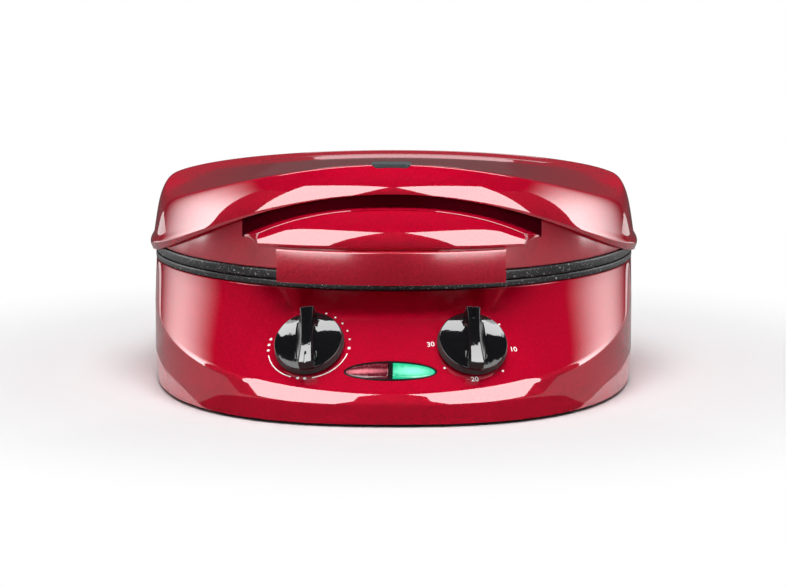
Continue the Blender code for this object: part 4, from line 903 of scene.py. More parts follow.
upper_low, upper_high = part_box("upper_plate")
rim_width = 0.0215
pan_radius = rim_radius - rim_width
seam_height = plate_high.z
plate_cast = 0.0031
pan_floor = plate_low.z + plate_cast
rim_bottom = base_height + seat_gap
pan_corner = 0.0110
upper_ceiling = upper_high.z - plate_cast
upper_rim_thickness = 0.0070
upper_rim_top = upper_low.z + upper_rim_thickness


def turned(name, profile, trims, middle, count=96, steps=5):
    """A (radius, height) profile with rounded corners, turned about an upright axis. A profile
    that starts and ends on the axis is closed there by a fan, any other one is a ring."""
    turn = np.linspace(0, math.tau, count, endpoint=False)
    flat = [np.array([[r, 0.0, z]]) for r, z in profile]
    open_ends = profile[0][0] == 0
    line = rounded(flat, trims, steps)[:, 0]
    x, y = middle
    rings = line[:, 0, None] * np.stack([np.cos(turn), np.sin(turn)])[:, None]
    rings = np.stack([rings[0] + x, rings[1] + y, np.repeat(line[:, 2, None], count, axis=1)], axis=-1)
    if not open_ends:
        return surface(name, rings, loop=True)
    return surface(name, rings[1:-1], poles=((x, y, line[0, 2]), (x, y, line[-1, 2])))


def grain_group():
    """The grain of moulded, cast or brushed stuff: noise, with its own number of grains a
    metre along each axis, varies the colour and the roughness and dents the normal."""
    inputs = {
        "Grains per metre": (700, 700, 700),
        "Detail": 2.0,
        "Colour": (0.5, 0.5, 0.5, 1),
        "Contrast": 0.25,
        "Least roughness": 0.4,
        "Most roughness": 0.6,
        "Dents": 0.35,
        "Depth": 0.0002,
    }
    group, given, out = new_group("grain", inputs, {"Colour": 4, "Roughness": 1, "Normal": 3})
    place = vectors(group, "MULTIPLY", object_point(group), given["Grains per metre"])
    noise = {"Vector": place, "Scale": 1.0, "Detail": given["Detail"]}
    grain = add_node(group, "TexNoise", noise).outputs["Fac"]
    swing = arith(group, "MULTIPLY_ADD", grain, 2.0, -1.0)
    level = arith(group, "MULTIPLY_ADD", swing, given["Contrast"], 1.0)
    dents = {"Height": grain, "Strength": given["Dents"], "Distance": given["Depth"]}
    fill(group, out, {
        "Colour": vectors(group, "MULTIPLY", given["Colour"], level),
        "Roughness": ranged(group, grain, given["Least roughness"], given["Most roughness"]),
        "Normal": add_node(group, "Bump", dents).outputs["Normal"],
    })
    return group


grain_nodes = grain_group()


def grain(tree, grains, detail, roughness, dents=0.0, depth=0.0002, colour=(0.5, 0.5, 0.5), contrast=0.0):
    """The outputs of the grain group, placed in a material with its own values."""
    values = {
        "Grains per metre": grains,
        "Detail": detail,
        "Colour": (*colour, 1),
        "Contrast": contrast,
        "Least roughness": roughness[0],
        "Most roughness": roughness[1],
        "Dents": dents,
        "Depth": depth,
    }
    return add_node(tree, "Group", values, node_tree=grain_nodes).outputs


def grained(name, colour, grains, detail, roughness, contrast=0.0, dents=0.0, depth=0.0002, more=None):
    """A material in which the grain moves what varies: its roughness, and its colour and
    normal where contrast and dents are given. All else is set on the shader."""
    low, high = roughness
    first = {"Base Color": (*colour, 1), "Roughness": low, **(more or {})}
    made, tree, shader = new_material(name, first)
    given = grain(tree, grains, detail, roughness, dents, depth, colour, contrast)
    spreads = {"Base Color": contrast, "Roughness": high - low, "Normal": dents}
    take(tree, shader, given, [key for key, spread in spreads.items() if spread])
    return made


def stone_coating():
    """Black coating with a fine orange peel; Voronoi cells thresholded by size and chance are
    its pale speckles, and a few are larger."""
    made, tree, shader = new_material("stone coating", {})
    place = object_point(tree)
    speckles = []
    for scale, reach, chance in ((900.0, 0.32, 0.62), (330.0, 0.26, 0.80)):
        cells = add_node(tree, "TexVoronoi", {"Vector": place, "Scale": scale}).outputs
        shares = add_node(tree, "SeparateColor", {"Color": cells["Color"]}).outputs
        near = arith(tree, "LESS_THAN", cells["Distance"], reach)
        both = arith(tree, "MULTIPLY", near, arith(tree, "GREATER_THAN", shares[0], chance))
        speckles.append(arith(tree, "MULTIPLY", both, shares[1]))
    black, pale = (0.018, 0.019, 0.021, 1), (0.62, 0.64, 0.66, 1)
    colour = mixed(tree, arith(tree, "MAXIMUM", *speckles), black, pale)
    peel = grain(tree, (700, 700, 700), 2.0, (0.24, 0.40), 0.25)
    take(tree, shader, peel, ("Roughness", "Normal"))
    fill(tree, shader, {"Base Color": colour})
    return made


coating = stone_coating()
pan_outside = pan_radius + plate_cast


def dish_profile(floor, lip, rim_back, outside):
    """Half section of a dish, by the heights of its hollow's floor, of the rim's face at the
    seam, of the rim's back, and of its outside."""
    return [
        (0, floor),
        (pan_radius / 2, floor),
        (pan_radius, floor),
        (pan_radius, lip),
        (rim_radius, lip),
        (rim_radius, rim_back),
        (pan_outside, rim_back),
        (pan_outside, outside),
        (pan_radius / 2, outside),
        (0, outside),
    ]


lower_profile = dish_profile(pan_floor, seam_height, rim_bottom, plate_low.z)
lower_trims = (0, 0, pan_corner, 0.0012, 0.0012, 0.0008, 0.0004, pan_corner, 0, 0)
plate_mesh = turned("baking_dish_lower", lower_profile, lower_trims, (0, pan_y), 288, 8)
piece("baking_dish_lower", plate_mesh, coating, "base", "coating", "lower_plate", sharp_deg=50)
upper_profile = dish_profile(upper_ceiling, upper_low.z, upper_rim_top, upper_high.z)
upper_trims = (0, 0, pan_corner, 0.0012, 0.0016, 0.0016, 0.0004, 0.0060, 0, 0)
corner_names = ("front_left", "front_right", "rear_left", "rear_right")
lid_screw_names = ["lid_screw_" + corner for corner in corner_names]
plate_mesh = turned("baking_dish_upper", upper_profile, upper_trims, (0, pan_y), 288, 8)
lid_screw_sink_radius, lid_screw_sink = 0.0034, 0.0017
lid_screw_hole_radius = 0.0019
heads = []
for name in lid_screw_names:
    low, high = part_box(name)
    middle = (low + high) / 2
    for radius, depth in ((lid_screw_sink_radius, lid_screw_sink), (lid_screw_hole_radius, 0.012)):
        heads.append(rod((middle.x, middle.y, low.z), (0, 0, 1), radius, -0.004, depth))
plate_mesh = combined(plate_mesh, heads)
piece("baking_dish_upper", plate_mesh, coating, "lid", "coating", "upper_plate", sharp_deg=50)


# Rest pad: a rubber foot let into the visor's ridge, so that the open lid can lie on it. The
# four feet under the cooker are turned from the same rubber.

def soft_rubber(name, colour):
    """Matt moulded rubber with a fine grain and a little dust in its colour."""
    return grained(name, colour, (900, 900, 900), 4.0, (0.45, 0.45), contrast=0.3, dents=0.3)


pad_rubber = soft_rubber("pad rubber", (0.040, 0.055, 0.060))
foot_rubber = soft_rubber("foot rubber", (0.020, 0.020, 0.021))
pad_edge = 0.0008
pad_rings = [pad_loop(0, z) for z in (pad_low.z, pad_top)]
pad_rings = [pad_loop(-2 * pad_edge, pad_low.z), *pad_rings, pad_loop(-2 * pad_edge, pad_top)]
pad_mesh = capped("ridge_pad", rounded(pad_rings, (0, 0.0006, pad_edge, 0), 5))
piece("ridge_pad", pad_mesh, pad_rubber, "lid", "rubber", "rest_pad")

foot_height = 0.0037
foot_hollow = 0.0008
foot_stem_radius = 0.0022
for corner in corner_names:
    low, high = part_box("foot_" + corner)
    middle = (low + high) / 2
    radius = high.x - middle.x
    profile = [
        (0, high.z),
        (foot_stem_radius, high.z),
        (foot_stem_radius, low.z + foot_height),
        (radius, low.z + foot_height),
        (radius, low.z),
        (radius * 0.6, low.z),
        (radius * 0.55, low.z + foot_hollow),
        (0, low.z + foot_hollow),
    ]
    trims = (0, 0.0003, 0, 0.0005, 0.0012, 0.0003, 0.0003, 0)
    foot_mesh = turned("pad_foot", profile, trims, (middle.x, middle.y))
    piece("pad_foot_" + corner, foot_mesh, foot_rubber, "base", "rubber", "foot_" + corner)


# Dial knobs: gloss black mouldings, each a shallow dome with a waisted grip bar across it.
# One end of the bar has a sunk pointer mark. They push onto the shafts.

def knob_plastic(name, place, axes):
    """Black plastic, polished over the disc, its rim and the bar. The side wall and the bar's
    ends are left matt, as they come from the mould: they lie outside the disc's radius, and
    not near the height of its rim. Broad noise stands for the mould's slight waves."""
    made, tree, shader = new_material(name, {"Base Color": (0.008, 0.008, 0.009, 1), "IOR": 1.55})
    point = object_point(tree)
    local = vectors(tree, "SUBTRACT", point, tuple(place))
    level = vectors(tree, "DOT_PRODUCT", local, tuple(axes[2]))
    away = vectors(tree, "LENGTH", local)
    aside = arith(tree, "SUBTRACT", arith(tree, "POWER", away, 2.0), arith(tree, "POWER", level, 2.0))
    outside = arith(tree, "GREATER_THAN", aside, (knob_top_radius - knob_edge) ** 2)
    rim_height = knob_top - knob_dome - knob_edge / 2
    from_rim = arith(tree, "ABSOLUTE", arith(tree, "SUBTRACT", level, rim_height))
    matt = arith(tree, "MULTIPLY", outside, arith(tree, "GREATER_THAN", from_rim, 0.0008))
    waves = add_node(tree, "TexNoise", {"Vector": point, "Scale": 110.0}).outputs["Fac"]
    dented = add_node(tree, "Bump", {"Height": waves, "Strength": 0.35, "Distance": 0.0004})
    fill(tree, shader, {"Roughness": ranged(tree, matt, 0.05, 0.65), "Normal": dented.outputs["Normal"]})
    return made


def gloss_plastic(name, colour, roughness):
    """Polished plastic: noise varies the roughness like fine handling marks."""
    return grained(name, colour, (160, 160, 160), 6.0, (roughness * 0.7, roughness * 1.3))


black_plastic = gloss_plastic("black plastic", (0.010, 0.010, 0.011), 0.15)
knob_radius = 0.0250
knob_top_radius = 0.0242
knob_lift = 0.0010
knob_top = 0.0095
knob_dome = 0.0026
knob_edge = 0.0007
knob_foot = 0.0004
knob_recess_radius = 0.0105
knob_recess_top = 0.0048
grip_height = 0.0052
grip_dip = 0.0020
grip_half_width = 0.0048
grip_waist = 0.0011
grip_fillet = 0.0040
grip_edge = 0.0007
mark_half_width = 0.0008
mark_depth = 0.0010


def knob_top_grid(pointer):
    """The knob's top as a grid. Columns run along the bar: the disc (z falls with the square of
    the radius), the flank (x = w + (s - w)(1 - r)^2 up to the height r), a rounded edge, and
    the bar's flat with the sunk mark. Rows end on the disc's edge."""
    along = np.sin(np.linspace(-1, 1, 61) * math.pi / 2)
    rise = np.linspace(0, 1, 12)[1:]
    turn = np.linspace(0, math.pi / 2, 6)[1:]
    outer = np.sin(np.linspace(1, 0, 16) * math.pi / 2)
    radius = knob_top_radius - knob_edge
    columns = []
    middle = 1 - along ** 2
    wide = grip_half_width - grip_waist * middle
    spread = wide + grip_fillet * middle + 0.0006
    top = knob_top + grip_height - grip_dip * middle

    def disc(x):
        y = along * np.sqrt(np.maximum(radius ** 2 - x ** 2, 0))
        return y, knob_top - knob_dome * (x ** 2 + y ** 2) / radius ** 2

    for share in outer:
        x = spread + (radius - spread) * share
        y, z = disc(x)
        columns.append((x, y, z))
    for share in rise:
        x = wide + (spread - wide) * (1 - share) ** 2
        y, z = disc(x)
        columns.append((x, y, z + (top - grip_edge - z) * share))
    for q in turn:
        x = wide - grip_edge * (1 - math.cos(q))
        y, _ = disc(x)
        columns.append((x, y, top - grip_edge * (1 - math.sin(q))))
    sunk = np.clip((along * pointer - 0.62) / 0.05, 0, 1)
    sunk = sunk * sunk * (3 - 2 * sunk)
    for wide_share, deep in ((1.35, 0.0), (1.0, 0.0), (0.7, 1.0), (0.0, 1.0)):
        x = np.full(len(along), mark_half_width * wide_share)
        y, _ = disc(x)
        columns.append((x, y, top - mark_depth * deep * sunk))
    half = [np.stack(c, axis=1) for c in columns]
    return np.array([*[c * [-1, 1, 1] for c in half], *half[:-1][::-1]])


def welded(mesh, distance):
    """Merges points that lie within a distance, and turns every face outwards."""
    work = bmesh.new()
    work.from_mesh(mesh)
    bmesh.ops.remove_doubles(work, verts=work.verts, dist=distance)
    bmesh.ops.recalc_face_normals(work, faces=work.faces)
    work.to_mesh(mesh)
    work.free()
    return turned_out(mesh)


def knob_mesh(name, place, axes, turn_deg, pointer):
    """The top grid, and a wall of rings from its boundary down to the skirt and the recess."""
    grid = knob_top_grid(pointer)
    columns, rows = grid.shape[:2]
    i, j = np.meshgrid(np.arange(columns - 1), np.arange(rows - 1), indexing="ij")
    start = i * rows + j
    faces = np.stack([start, start + rows, start + rows + 1, start + 1], axis=-1).reshape(-1, 4)
    points = grid.reshape(-1, 3)
    rim = np.concatenate([grid[:, -1], grid[::-1, 0][1:-1]])
    way = rim[:, :2] / np.linalg.norm(rim[:, :2], axis=1, keepdims=True)
    height = rim[:, 2]
    wall = [
        (knob_top_radius - knob_edge * (1 - math.sin(q)), height - knob_edge * (1 - math.cos(q)))
        for q in np.linspace(0, math.pi / 2, 5)[1:]
    ]
    low_edge = knob_top - knob_dome - 2 * knob_edge
    wall += [
        (knob_top_radius, np.minimum(height - 2 * knob_edge, low_edge)),
        (knob_radius, knob_lift + knob_foot),
        (knob_radius - knob_foot, knob_lift),
        (knob_recess_radius, knob_lift),
        (knob_recess_radius, knob_recess_top),
    ]
    rings = [rim] + [np.column_stack([way * radius, level + 0 * height]) for radius, level in wall]
    across = len(rim)
    i, j = np.meshgrid(np.arange(len(wall)), np.arange(across), indexing="ij")
    here, there, side = i * across, (i + 1) * across, (j + 1) % across
    quads = np.stack([here + j, here + side, there + side, there + j], axis=-1)
    quads = quads.reshape(-1, 4) + len(points)
    last = len(points) + len(wall) * across
    turn = math.radians(-turn_deg)
    spin = np.array([[math.cos(turn), math.sin(turn), 0], [-math.sin(turn), math.cos(turn), 0], [0, 0, 1]])
    everything = np.concatenate([points, *rings]) @ spin @ axes + place
    mesh = bpy.data.meshes.new(name)
    floor = [list(range(last, last + across))]
    mesh.from_pydata(everything.tolist(), [], faces.tolist() + quads.tolist() + floor)
    return welded(mesh, 0.000002)


dial_lights = bpy.data.collections.new("lit by the dial box")
dial_box = soft_box("dial box", 180, 84, 3.6, 1.25, 11.0, "shine", bow=0.45)
dial_box.light_linking.receiver_collection = dial_lights
for dial_name, turn_deg, pointer in (("thermostat", -10.0, -1), ("timer", 7.0, 1)):
    place, axes = dials[dial_name + "_dial"]
    mesh = knob_mesh(dial_name + "_grip_knob", place, axes, turn_deg, pointer)
    knob = piece(
        dial_name + "_grip_knob",
        mesh,
        knob_plastic(dial_name + " plastic", place, axes),
        dial_name + "_dial",
        "gloss_black",
        dial_name + "_knob",
        sharp_deg=38,
    )
    dial_lights.objects.link(knob)


# Dial scales: white ink, screen printed on the sloped panel. The left scale is dots and
# arcs for heat, the right one dots and minutes.

def laid_on_panel(place, axes, flat, lift):
    """Finds the panel's points that lie at (a, b) in a dial's own plane, by Newton's steps in
    the panel's angle and share, then lifts them along the panel's normal."""
    count = len(flat)
    angle, share = np.full(count, place[0] / 0.2), np.full(count, 0.576)
    step = 1e-4

    def seen(angle, share):
        return (on_panel(angle, share) - place) @ axes[:2].T

    for _ in range(12):
        here = seen(angle, share)
        by_angle = (seen(angle + step, share) - here) / step
        by_share = (seen(angle, share + step) - here) / step
        miss = flat - here
        size = by_angle[:, 0] * by_share[:, 1] - by_angle[:, 1] * by_share[:, 0]
        angle = angle + (miss[:, 0] * by_share[:, 1] - miss[:, 1] * by_share[:, 0]) / size
        share = share + (by_angle[:, 0] * miss[:, 1] - by_angle[:, 1] * miss[:, 0]) / size
    across = on_panel(angle + step, share) - on_panel(angle - step, share)
    down = on_panel(angle, share + step) - on_panel(angle, share - step)
    normal = np.cross(down, across)
    normal /= np.linalg.norm(normal, axis=1, keepdims=True)
    normal *= np.sign(normal @ axes[2])[:, None]
    return on_panel(angle, share) + normal * np.reshape(lift, (-1, 1))


ink_low, ink_high = -0.00004, 0.00006
print_squash = (1.0, 0.965)
print_shifts = {"thermostat_dial": (-0.0012, 0.0008), "timer_dial": (0.0006, 0.0008)}


def printed(dial, flat, lift):
    """The screen of a scale sits a little off its shaft, and is a little flattened."""
    return laid_on_panel(*dials[dial], flat * print_squash + print_shifts[dial], lift)


def on_circle(radius, degrees):
    """Points of a circle in a dial's plane, clockwise from its top."""
    turn = np.radians(degrees)
    return radius * np.stack([np.sin(turn), np.cos(turn)], axis=-1)


def dot_loop(radius, degrees, size, count=20):
    return on_circle(radius, degrees) + ellipse(size, size, count)


def arc_loop(radius, start, end, width, count=40):
    """A curved bar with square ends: out along the larger radius, back along the smaller."""
    turn = np.linspace(start, end, count)
    return np.concatenate([on_circle(radius + width / 2, turn), on_circle(radius - width / 2, turn[::-1])])


def merged(name, meshes):
    """Several closed meshes as one mesh."""
    work = bmesh.new()
    for mesh in meshes:
        work.from_mesh(mesh)
        bpy.data.meshes.remove(mesh)
    made = bpy.data.meshes.new(name)
    work.to_mesh(made)
    work.free()
    return made


def number_mesh(text, middle, height):
    """The text as a mesh in its dial's plane, before it is laid on the panel: set flat,
    thickened, scaled to its height and centred."""
    curve = bpy.data.curves.new("number", "FONT")
    curve.body = text
    curve.align_x = "CENTER"
    curve.align_y = "CENTER"
    curve.extrude = 0.5
    curve.offset = 0.012
    source = bpy.data.objects.new("number", curve)
    bpy.context.scene.collection.objects.link(source)
    graph = bpy.context.evaluated_depsgraph_get()
    mesh = bpy.data.meshes.new_from_object(source.evaluated_get(graph))
    bpy.data.objects.remove(source, do_unlink=True)
    points = mesh_points(mesh)
    low, high = points.min(axis=0), points.max(axis=0)
    scale = height / (high[1] - low[1])
    flat = (points[:, :2] - (low[:2] + high[:2]) / 2) * scale + middle
    return mesh, flat, points[:, 2] > 0


def laid_number(text, dial, radius, degrees, height):
    mesh, flat, upper = number_mesh(text, on_circle(radius, degrees), height)
    points = printed(dial, flat, np.where(upper, ink_high, ink_low))
    mesh.vertices.foreach_set("co", points.ravel())
    return welded(mesh, 0.000001)


def laid_loop(dial, loop):
    rings = [printed(dial, loop, np.full(len(loop), z)) for z in (ink_low, ink_high)]
    return capped("print", rings)


# Painted light: the white ink glows a little, so the print reads brighter than the lamps make it.
ink_painted_glow = {"Emission Color": (1, 1, 1, 1), "Emission Strength": 0.25}
ink = grained("white ink", (0.93, 0.93, 0.92), (1500, 1500, 1500), 2.0, (0.45, 0.65), more=ink_painted_glow)
scale_radius = 0.0293
small_dot, large_dot = 0.00070, 0.00105
scale_line = 0.0007
dial = "thermostat_dial"
prints = [laid_loop(dial, dot_loop(scale_radius, degrees, small_dot)) for degrees in (15, 30, 45, 60, 75)]
for degrees in (90, 174, 184, 259.5, 269.3, 279.3):
    prints.append(laid_loop(dial, dot_loop(scale_radius, degrees, large_dot)))
for start, end in ((99.3, 163.9), (194.5, 250.7)):
    prints.append(laid_loop(dial, arc_loop(scale_radius, start, end, scale_line)))
piece("thermostat_scale", merged("thermostat_scale", prints), ink, "base", "lacquer")

dial = "timer_dial"
prints = [laid_loop(dial, dot_loop(scale_radius, degrees, small_dot * 1.2)) for degrees in (52, 142, 232)]
for text, radius, degrees in (("10", 0.0303, 97), ("20", 0.0296, 187), ("30", 0.0294, 277)):
    prints.append(laid_number(text, dial, radius, degrees, 0.0040))
piece("timer_scale", merged("timer_scale", prints), ink, "base", "lacquer")


# Indicator: an eye-shaped window with a black bezel and a bar across it. The left half has a
# red lens, unlit, on which a painted highlight streak glows, and the right half a green one
# with a lamp shining behind.

panel_sag = 0.0011
lens_crown = 0.0016
lens_depth = 0.0030


def indicator_points(flat, height, sag_share=1.0):
    """Points at (a, b) in the indicator's plane; the height sinks with the square of a, as
    the panel curves away there."""
    sunk = height - sag_share * panel_sag * (flat[..., 0] / lens_half_length) ** 2
    local = np.stack([flat[..., 0], flat[..., 1], sunk], axis=-1)
    return local @ indicator_axes + indicator_place


def half_eye(side, grow, cut, count=40):
    """Half of an ellipse on one side of an upright chord, as a loop of (a, b)."""
    length, height = lens_half_length + grow, lens_half_height + grow
    start = math.acos(min(1.0, cut / length))
    turn = np.linspace(start, -start, count)
    curve = np.stack([side * length * np.cos(turn), height * np.sin(turn)], axis=1)
    chord = np.linspace(curve[-1], curve[0], 14)[1:-1]
    return np.concatenate([curve, chord])


def lens_rings(side):
    """A lens: rings of the half ellipse that shrink to its middle line while they rise on a
    quarter circle, over an upright wall that reaches into the bezel."""
    loop = half_eye(side, -seat_gap, bar_half_width + 2 * seat_gap)
    middle = np.stack([loop[:, 0] * 0.90 + side * 0.0013, 0 * loop[:, 1]], axis=1)
    rings = [indicator_points(loop, -lens_depth, 0.0)]
    for q in np.linspace(0, 1, 12):
        share = math.sin(q * math.pi / 2) * 0.97
        here = loop + (middle - loop) * share
        crown = lens_crown * math.sin(math.acos(1 - q)) * (1 - (here[:, 0] / lens_half_length) ** 2)
        rings.append(indicator_points(here, crown))
    return rings


def lens_glass(name, colour, deep, glow, side, reach):
    """Clear-coated tinted plastic over a moulded pattern. Distance from a point in the half fades
    the glow from a pale core to the tint: on the green lens the core is its lamp, on the unlit
    red lens a painted highlight streak. reach is its squash along X and its radius."""
    coat = {"Coat Weight": 1.0, "Coat Roughness": 0.03}
    made, tree, shader = new_material(name, {"Emission Strength": glow, "Roughness": 0.12, **coat})
    place = object_point(tree)
    centre = indicator_points(np.array([[side * lens_half_length * 0.45, -0.0005]]), 0.0)[0]
    stretch, radius = reach
    flat = vectors(tree, "MULTIPLY", vectors(tree, "SUBTRACT", place, tuple(centre)), (stretch, 1, 1))
    fade = ranged(tree, vectors(tree, "LENGTH", flat), 0.0, 1.0, 0.0005, radius, "SMOOTHSTEP")
    ribs = add_node(tree, "TexNoise", {"Vector": place, "Scale": 420.0}).outputs["Fac"]
    sum_of = {0: fade, 1: ranged(tree, ribs, -0.25, 0.25)}
    total = add_node(tree, "Math", sum_of, operation="ADD", use_clamp=True).outputs[0]
    tint = mixed(tree, total, (*colour, 1), (*deep, 1))
    fill(tree, shader, {"Base Color": tint, "Emission Color": tint})
    return made


red_painted_streak, deep_red = (0.80, 0.20, 0.25), (0.09, 0.003, 0.010)
pale_green, deep_green = (0.24, 0.90, 0.64), (0.01, 0.45, 0.22)
# Painted highlight: the unlit red lens glows in a pale streak drawn out along X.
red_lens = lens_glass("red lens plastic", red_painted_streak, deep_red, 0.60, -1, (0.10, 0.0030))
green_lens = lens_glass("green lens plastic", pale_green, deep_green, 0.62, 1, (0.28, 0.0056))
for side, name, skin in ((-1, "red", red_lens), (1, "green", green_lens)):
    mesh = capped(name + "_window", lens_rings(side))
    piece(name + "_window", mesh, skin, "base", name + "_lens", name + "_lens", sharp_deg=50)


def bezel_mesh():
    """The bezel: a plate with a lip round the window, cut through for both lenses."""
    corners = [
        (0.0030, -0.0060, 0.0, 0),
        (0.0030, -0.0045, 0.0, 0),
        (bezel_width, -0.0044, 0.0, 0),
        (bezel_width, bezel_lip, 1.0, 0.0004),
        (0.0002, bezel_lip, 1.0, 0),
    ]
    rings, trims = [], []
    for grow, height, sag, trim in corners:
        flat = ellipse(lens_half_length + grow, lens_half_height + grow, 128)
        rings.append(indicator_points(flat, height, sag))
        trims.append(trim)
    holes = []
    for side in (-1, 1):
        loop = half_eye(side, 0.0, bar_half_width)
        holes.append(capped("hole", [indicator_points(loop, z, 0.0) for z in (-0.010, 0.004)]))
    return combined(capped("bezel", rounded(rings, trims, 4)), holes)


bezel_plastic = gloss_plastic("bezel plastic", (0.014, 0.013, 0.014), 0.16)
piece("indicator_bezel", bezel_mesh(), bezel_plastic, "base", "dull_black", "lens_frame", sharp_deg=35)


# Hinge: a bracket with two ears on the base, a broad knuckle on the lid, and one steel pin.
# Both castings are lacquered red and screwed on from behind.

hinge_joint = next(j for j in frame["joints"] if j["name"] == "lid_hinge")
hinge_y, hinge_z = hinge_joint["pos_m"][1:]
knuckle_radius = 0.0075
pin_radius = 0.0025
bracket_low, bracket_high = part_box("base_hinge_bracket")
knuckle_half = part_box("lid_hinge_knuckle")[1].x
hinge_flange_wall = 0.0045
hinge_round = 0.0009
bore_radius = 0.0030


def slab_across(outline, low, high, edge):
    """A (y, z) outline carried along X; near both ends it shrinks towards its middle on a
    quarter circle, which rounds its edges."""
    outline = np.array(outline)
    stops = [(low + back, inset) for back, inset in quarter_round(edge)]
    stops += [(high - back, inset) for back, inset in reversed(quarter_round(edge))]
    rings = [np.column_stack([np.full(len(outline), x), shrunk(outline, inset)]) for x, inset in stops]
    return capped("slab", rings)


def knuckle_arc(start_deg, end_deg, count=28):
    """Points round the hinge line, from straight back (0) over the top (90)."""
    turn = np.radians(np.linspace(start_deg, end_deg, count))
    return [(hinge_y + knuckle_radius * math.cos(a), hinge_z + knuckle_radius * math.sin(a)) for a in turn]


def hinge_flange(levels, half_angle):
    """A curved plate on a wall: (inner radius, height) levels, thickened outwards."""
    inner = [(radius, z) for radius, z in levels]
    outer = [(radius + hinge_flange_wall, z) for radius, z in reversed(levels)]
    profile = inner + outer
    trims = [0.0] * len(levels) + [hinge_round, *[0.0] * (len(levels) - 2), hinge_round]
    angles = np.linspace(math.pi - half_angle, math.pi + half_angle, 41)
    return carried("flange", profile, trims, angles, hinge_round)


ear_gap, ear_width = 0.0006, 0.0090
ear_inner = knuckle_half + ear_gap
ear_outer = ear_inner + ear_width
bracket_top = base_height - 0.0067
flange_inner = base_half_width + seat_gap
flange_levels = [(flange_inner, z) for z in (bracket_low.z, bracket_top)]
flange_half = math.asin(bracket_high.x / (flange_inner + hinge_flange_wall))
ear_root = pan_y + math.sqrt(flange_inner ** 2 - ear_outer ** 2) + hinge_flange_wall / 2
ear_outline = [
    *knuckle_arc(-60, 150),
    (ear_root, bracket_top - hinge_round),
    (ear_root, bracket_low.z + hinge_flange_wall),
]
ear_spans = ((-ear_outer, -ear_inner), (ear_inner, ear_outer))
ears = [slab_across(ear_outline, low, high, hinge_round) for low, high in ear_spans]
bracket_mesh = combined(hinge_flange(flange_levels, flange_half), ears, "UNION")
pin_line = (0, hinge_y, hinge_z)
bore = rod(pin_line, (1, 0, 0), bore_radius, -ear_outer - 0.004, ear_outer + 0.004)
bracket_mesh = combined(bracket_mesh, [bore])
piece("hinge_bracket_cast", bracket_mesh, satin_lacquer, "base", "lacquer", "base_hinge_bracket")

rear = np.array([math.pi])
rear_height = float(lid_top_z(rear)[0]) - lid_edge_height
lid_levels = []
for share in np.linspace(0.08, 0.62, 12):
    radius = float(lid_wall_radius(rear, share)[0]) + seat_gap
    lid_levels.append((radius, lid_edge_height + rear_height * share))
block_low = pan_y + visor_radius + lid_lip + 2 * seat_gap + hinge_flange_wall / 2
block_top = (lid_levels[0][1] + lid_levels[-1][1]) / 2 + hinge_flange_wall
block_outline = [
    *knuckle_arc(-150, 60),
    (block_low, block_top),
    (block_low, lid_levels[0][1] + seat_gap),
]
lid_flange = hinge_flange(lid_levels, math.asin(knuckle_half / (visor_radius + hinge_flange_wall)))
block = slab_across(block_outline, -knuckle_half, knuckle_half, hinge_round)
knuckle_mesh = combined(lid_flange, [block], "UNION")
bore = rod(pin_line, (1, 0, 0), bore_radius, -ear_outer, ear_outer)
knuckle_mesh = combined(knuckle_mesh, [bore])
piece("hinge_knuckle_cast", knuckle_mesh, satin_lacquer, "lid", "lacquer", "lid_hinge_knuckle")


# Steel: the hinge pin and every screw that shows. Screws are zinc plated, with a cross
# pressed into a low round head.

def brushed_steel(name, colour, roughness):
    """Metal with fine streaks along X."""
    span = (roughness * 0.7, roughness * 1.4)
    return grained(
        name, colour, (120, 1400, 1400), 3.0, span, dents=0.4, depth=0.00005, more={"Metallic": 1.0}
    )


zinc = brushed_steel("zinc plated steel", (0.55, 0.56, 0.58), 0.30)


def turned_along(name, profile, trims, place, way, count=32):
    """A (radius, distance) profile turned about a direction through a place."""
    mesh = turned(name, profile, trims, (0, 0), count, 4)
    mesh.vertices.foreach_set("co", (mesh_points(mesh) @ upright_to(way) + np.array(place)).ravel())
    mesh.update()
    return mesh


pin_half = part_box("hinge_pin")[1].x
pin_head_radius = 0.0042
pin_neck = pin_half - 0.0020
pin_profile = [
    (0, -pin_half),
    (pin_head_radius, -pin_half),
    (pin_head_radius, -pin_neck),
    (pin_radius, -pin_neck),
    (pin_radius, pin_neck),
    (pin_head_radius, pin_neck),
    (pin_head_radius, pin_half),
    (0, pin_half),
]
pin_trims = (0, 0.0012, 0.0002, 0, 0, 0.0002, 0.0012, 0)
pin_mesh = turned_along("pivot_pin", pin_profile, pin_trims, pin_line, (1, 0, 0), 40)
piece("pivot_pin", pin_mesh, zinc, "base", "steel", "hinge_pin")
screw_head = 0.0016
screw_head_radius = 0.0031
screw_radius = 0.0015


def screw_mesh(name, place, way, shank):
    """A screw seen from its head: a low dome, a cross cut by two bars, and a plain shank. The
    place is the middle of the head's underside, and the shank runs along the way."""
    profile = [
        (0, shank),
        (screw_radius, shank),
        (screw_radius, 0.0),
        (screw_head_radius, 0.0),
        (screw_head_radius - 0.0001, -screw_head),
        (0, -screw_head),
    ]
    mesh = turned_along(name, profile, (0, 0.0003, 0, 0.0003, 0.0010, 0), place, way)
    bars = []
    for wide, deep in ((0.0017, 0.00035), (0.00035, 0.0017)):
        flat = np.array([(-wide, -deep), (wide, -deep), (wide, deep), (-wide, deep)])
        ends = [np.column_stack([flat, np.full(4, z)]) @ upright_to(way) for z in (-0.003, -0.0006)]
        bars.append(capped("bar", np.array(ends) + np.array(place)))
    return combined(mesh, bars)


def screw_facts(name, way):
    """Where a CAD screw's head bears, and how long its shank is, from its points."""
    way = np.array(way) / np.linalg.norm(way)
    points = mesh_points(frame["nodes"][name].data)
    along = points @ way
    shank = along.max() - along.min() - screw_head
    tip = points[along > along.max() - 1e-5].mean(axis=0)
    return tip - way * shank, way, shank


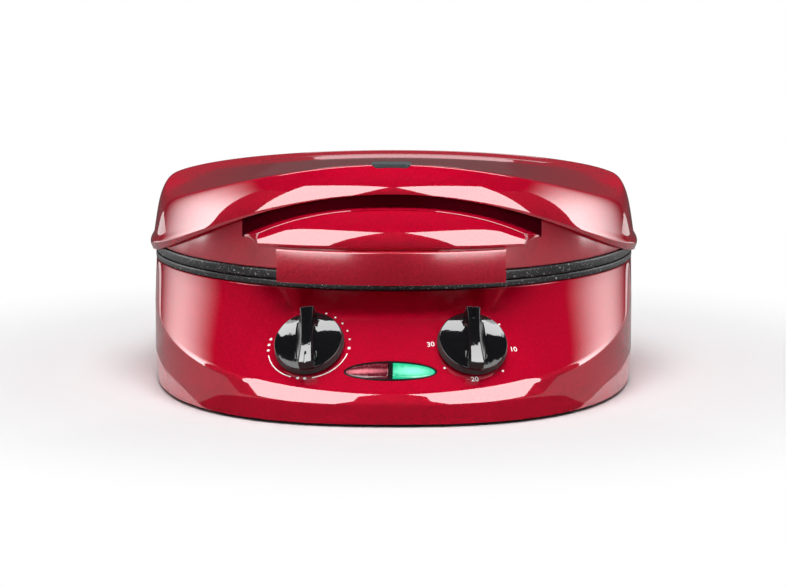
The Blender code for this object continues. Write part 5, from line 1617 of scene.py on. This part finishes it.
up = (0, 0, 1)
shown_screws = [(name, up, "lid") for name in lid_screw_names]
shown_screws += [("cover_screw_" + corner, up, "base") for corner in corner_names]
for name, body in (("base_hinge_screw", "base"), ("lid_hinge_screw", "lid")):
    for side, degrees in (("left", 189), ("right", 171)):
        turn = math.radians(degrees)
        shown_screws.append((f"{name}_{side}", (-math.sin(turn), math.cos(turn), 0), body))
for name, way, body in shown_screws:
    mesh = screw_mesh("cross_" + name, *screw_facts(name, way))
    piece("cross_" + name, mesh, zinc, body, "steel", name, sharp_deg=30)


# Cord inlet: a grommet moulded in dull black plastic. Its neck snaps into the rear wall
# between two flanges, and its bore is open.

def moulded_black(name, colour, roughness, grains=700):
    """Dull moulded plastic with a spark-eroded grain."""
    span = (roughness - 0.08, roughness + 0.08)
    return grained(name, colour, (grains, grains, grains), 5.0, span, contrast=0.25, dents=0.35)


dull_black = moulded_black("dull black plastic", (0.022, 0.022, 0.024), 0.55)
half_wall = base_wall / 2 + seat_gap
flange_end = half_wall + 0.0018
grommet_bore, grommet_neck, grommet_flange = 0.0038, 0.0065, 0.0090
grommet_profile = [
    (grommet_bore, flange_end),
    (grommet_flange, flange_end),
    (grommet_flange, half_wall),
    (grommet_neck, half_wall),
    (grommet_neck, -half_wall),
    (grommet_flange, -half_wall),
    (grommet_flange, -flange_end),
    (grommet_bore, -flange_end),
]
grommet_trims = (0.0008, 0.0012, 0.0003, 0, 0, 0.0003, 0.0008, 0.0008)
grommet_mesh = turned_along(
    "inlet_grommet", grommet_profile, grommet_trims, grommet_middle, grommet_way, 64
)
piece("inlet_grommet", grommet_mesh, dull_black, "base", "dull_black", "cord_grommet")


# Everything else keeps its CAD shape: the bottom cover with its vents, and the working parts
# inside. Each gets the finish of its real material.

sheet_steel = brushed_steel("aluminised sheet", (0.62, 0.62, 0.63), 0.38)
element_steel = brushed_steel("element tube", (0.11, 0.10, 0.10), 0.50)
ceramic = moulded_black("white ceramic", (0.74, 0.72, 0.66), 0.50, 1200)
lamp_glass = gloss_plastic("lamp glass", (0.70, 0.45, 0.32), 0.06)
finishes = {
    "lacquer": satin_lacquer,
    "coating": coating,
    "gloss_black": black_plastic,
    "dull_black": dull_black,
    "rubber": foot_rubber,
    "red_lens": red_lens,
    "green_lens": green_lens,
    "steel": zinc,
    "sheet": sheet_steel,
    "ceramic": ceramic,
    "lamp_glass": lamp_glass,
    "element": element_steel,
}
for part in frame["record"]["subparts"]:
    node = frame["nodes"][part["node"]]
    node.data.materials.clear()
    node.data.materials.append(finishes[part["material_slot"]])
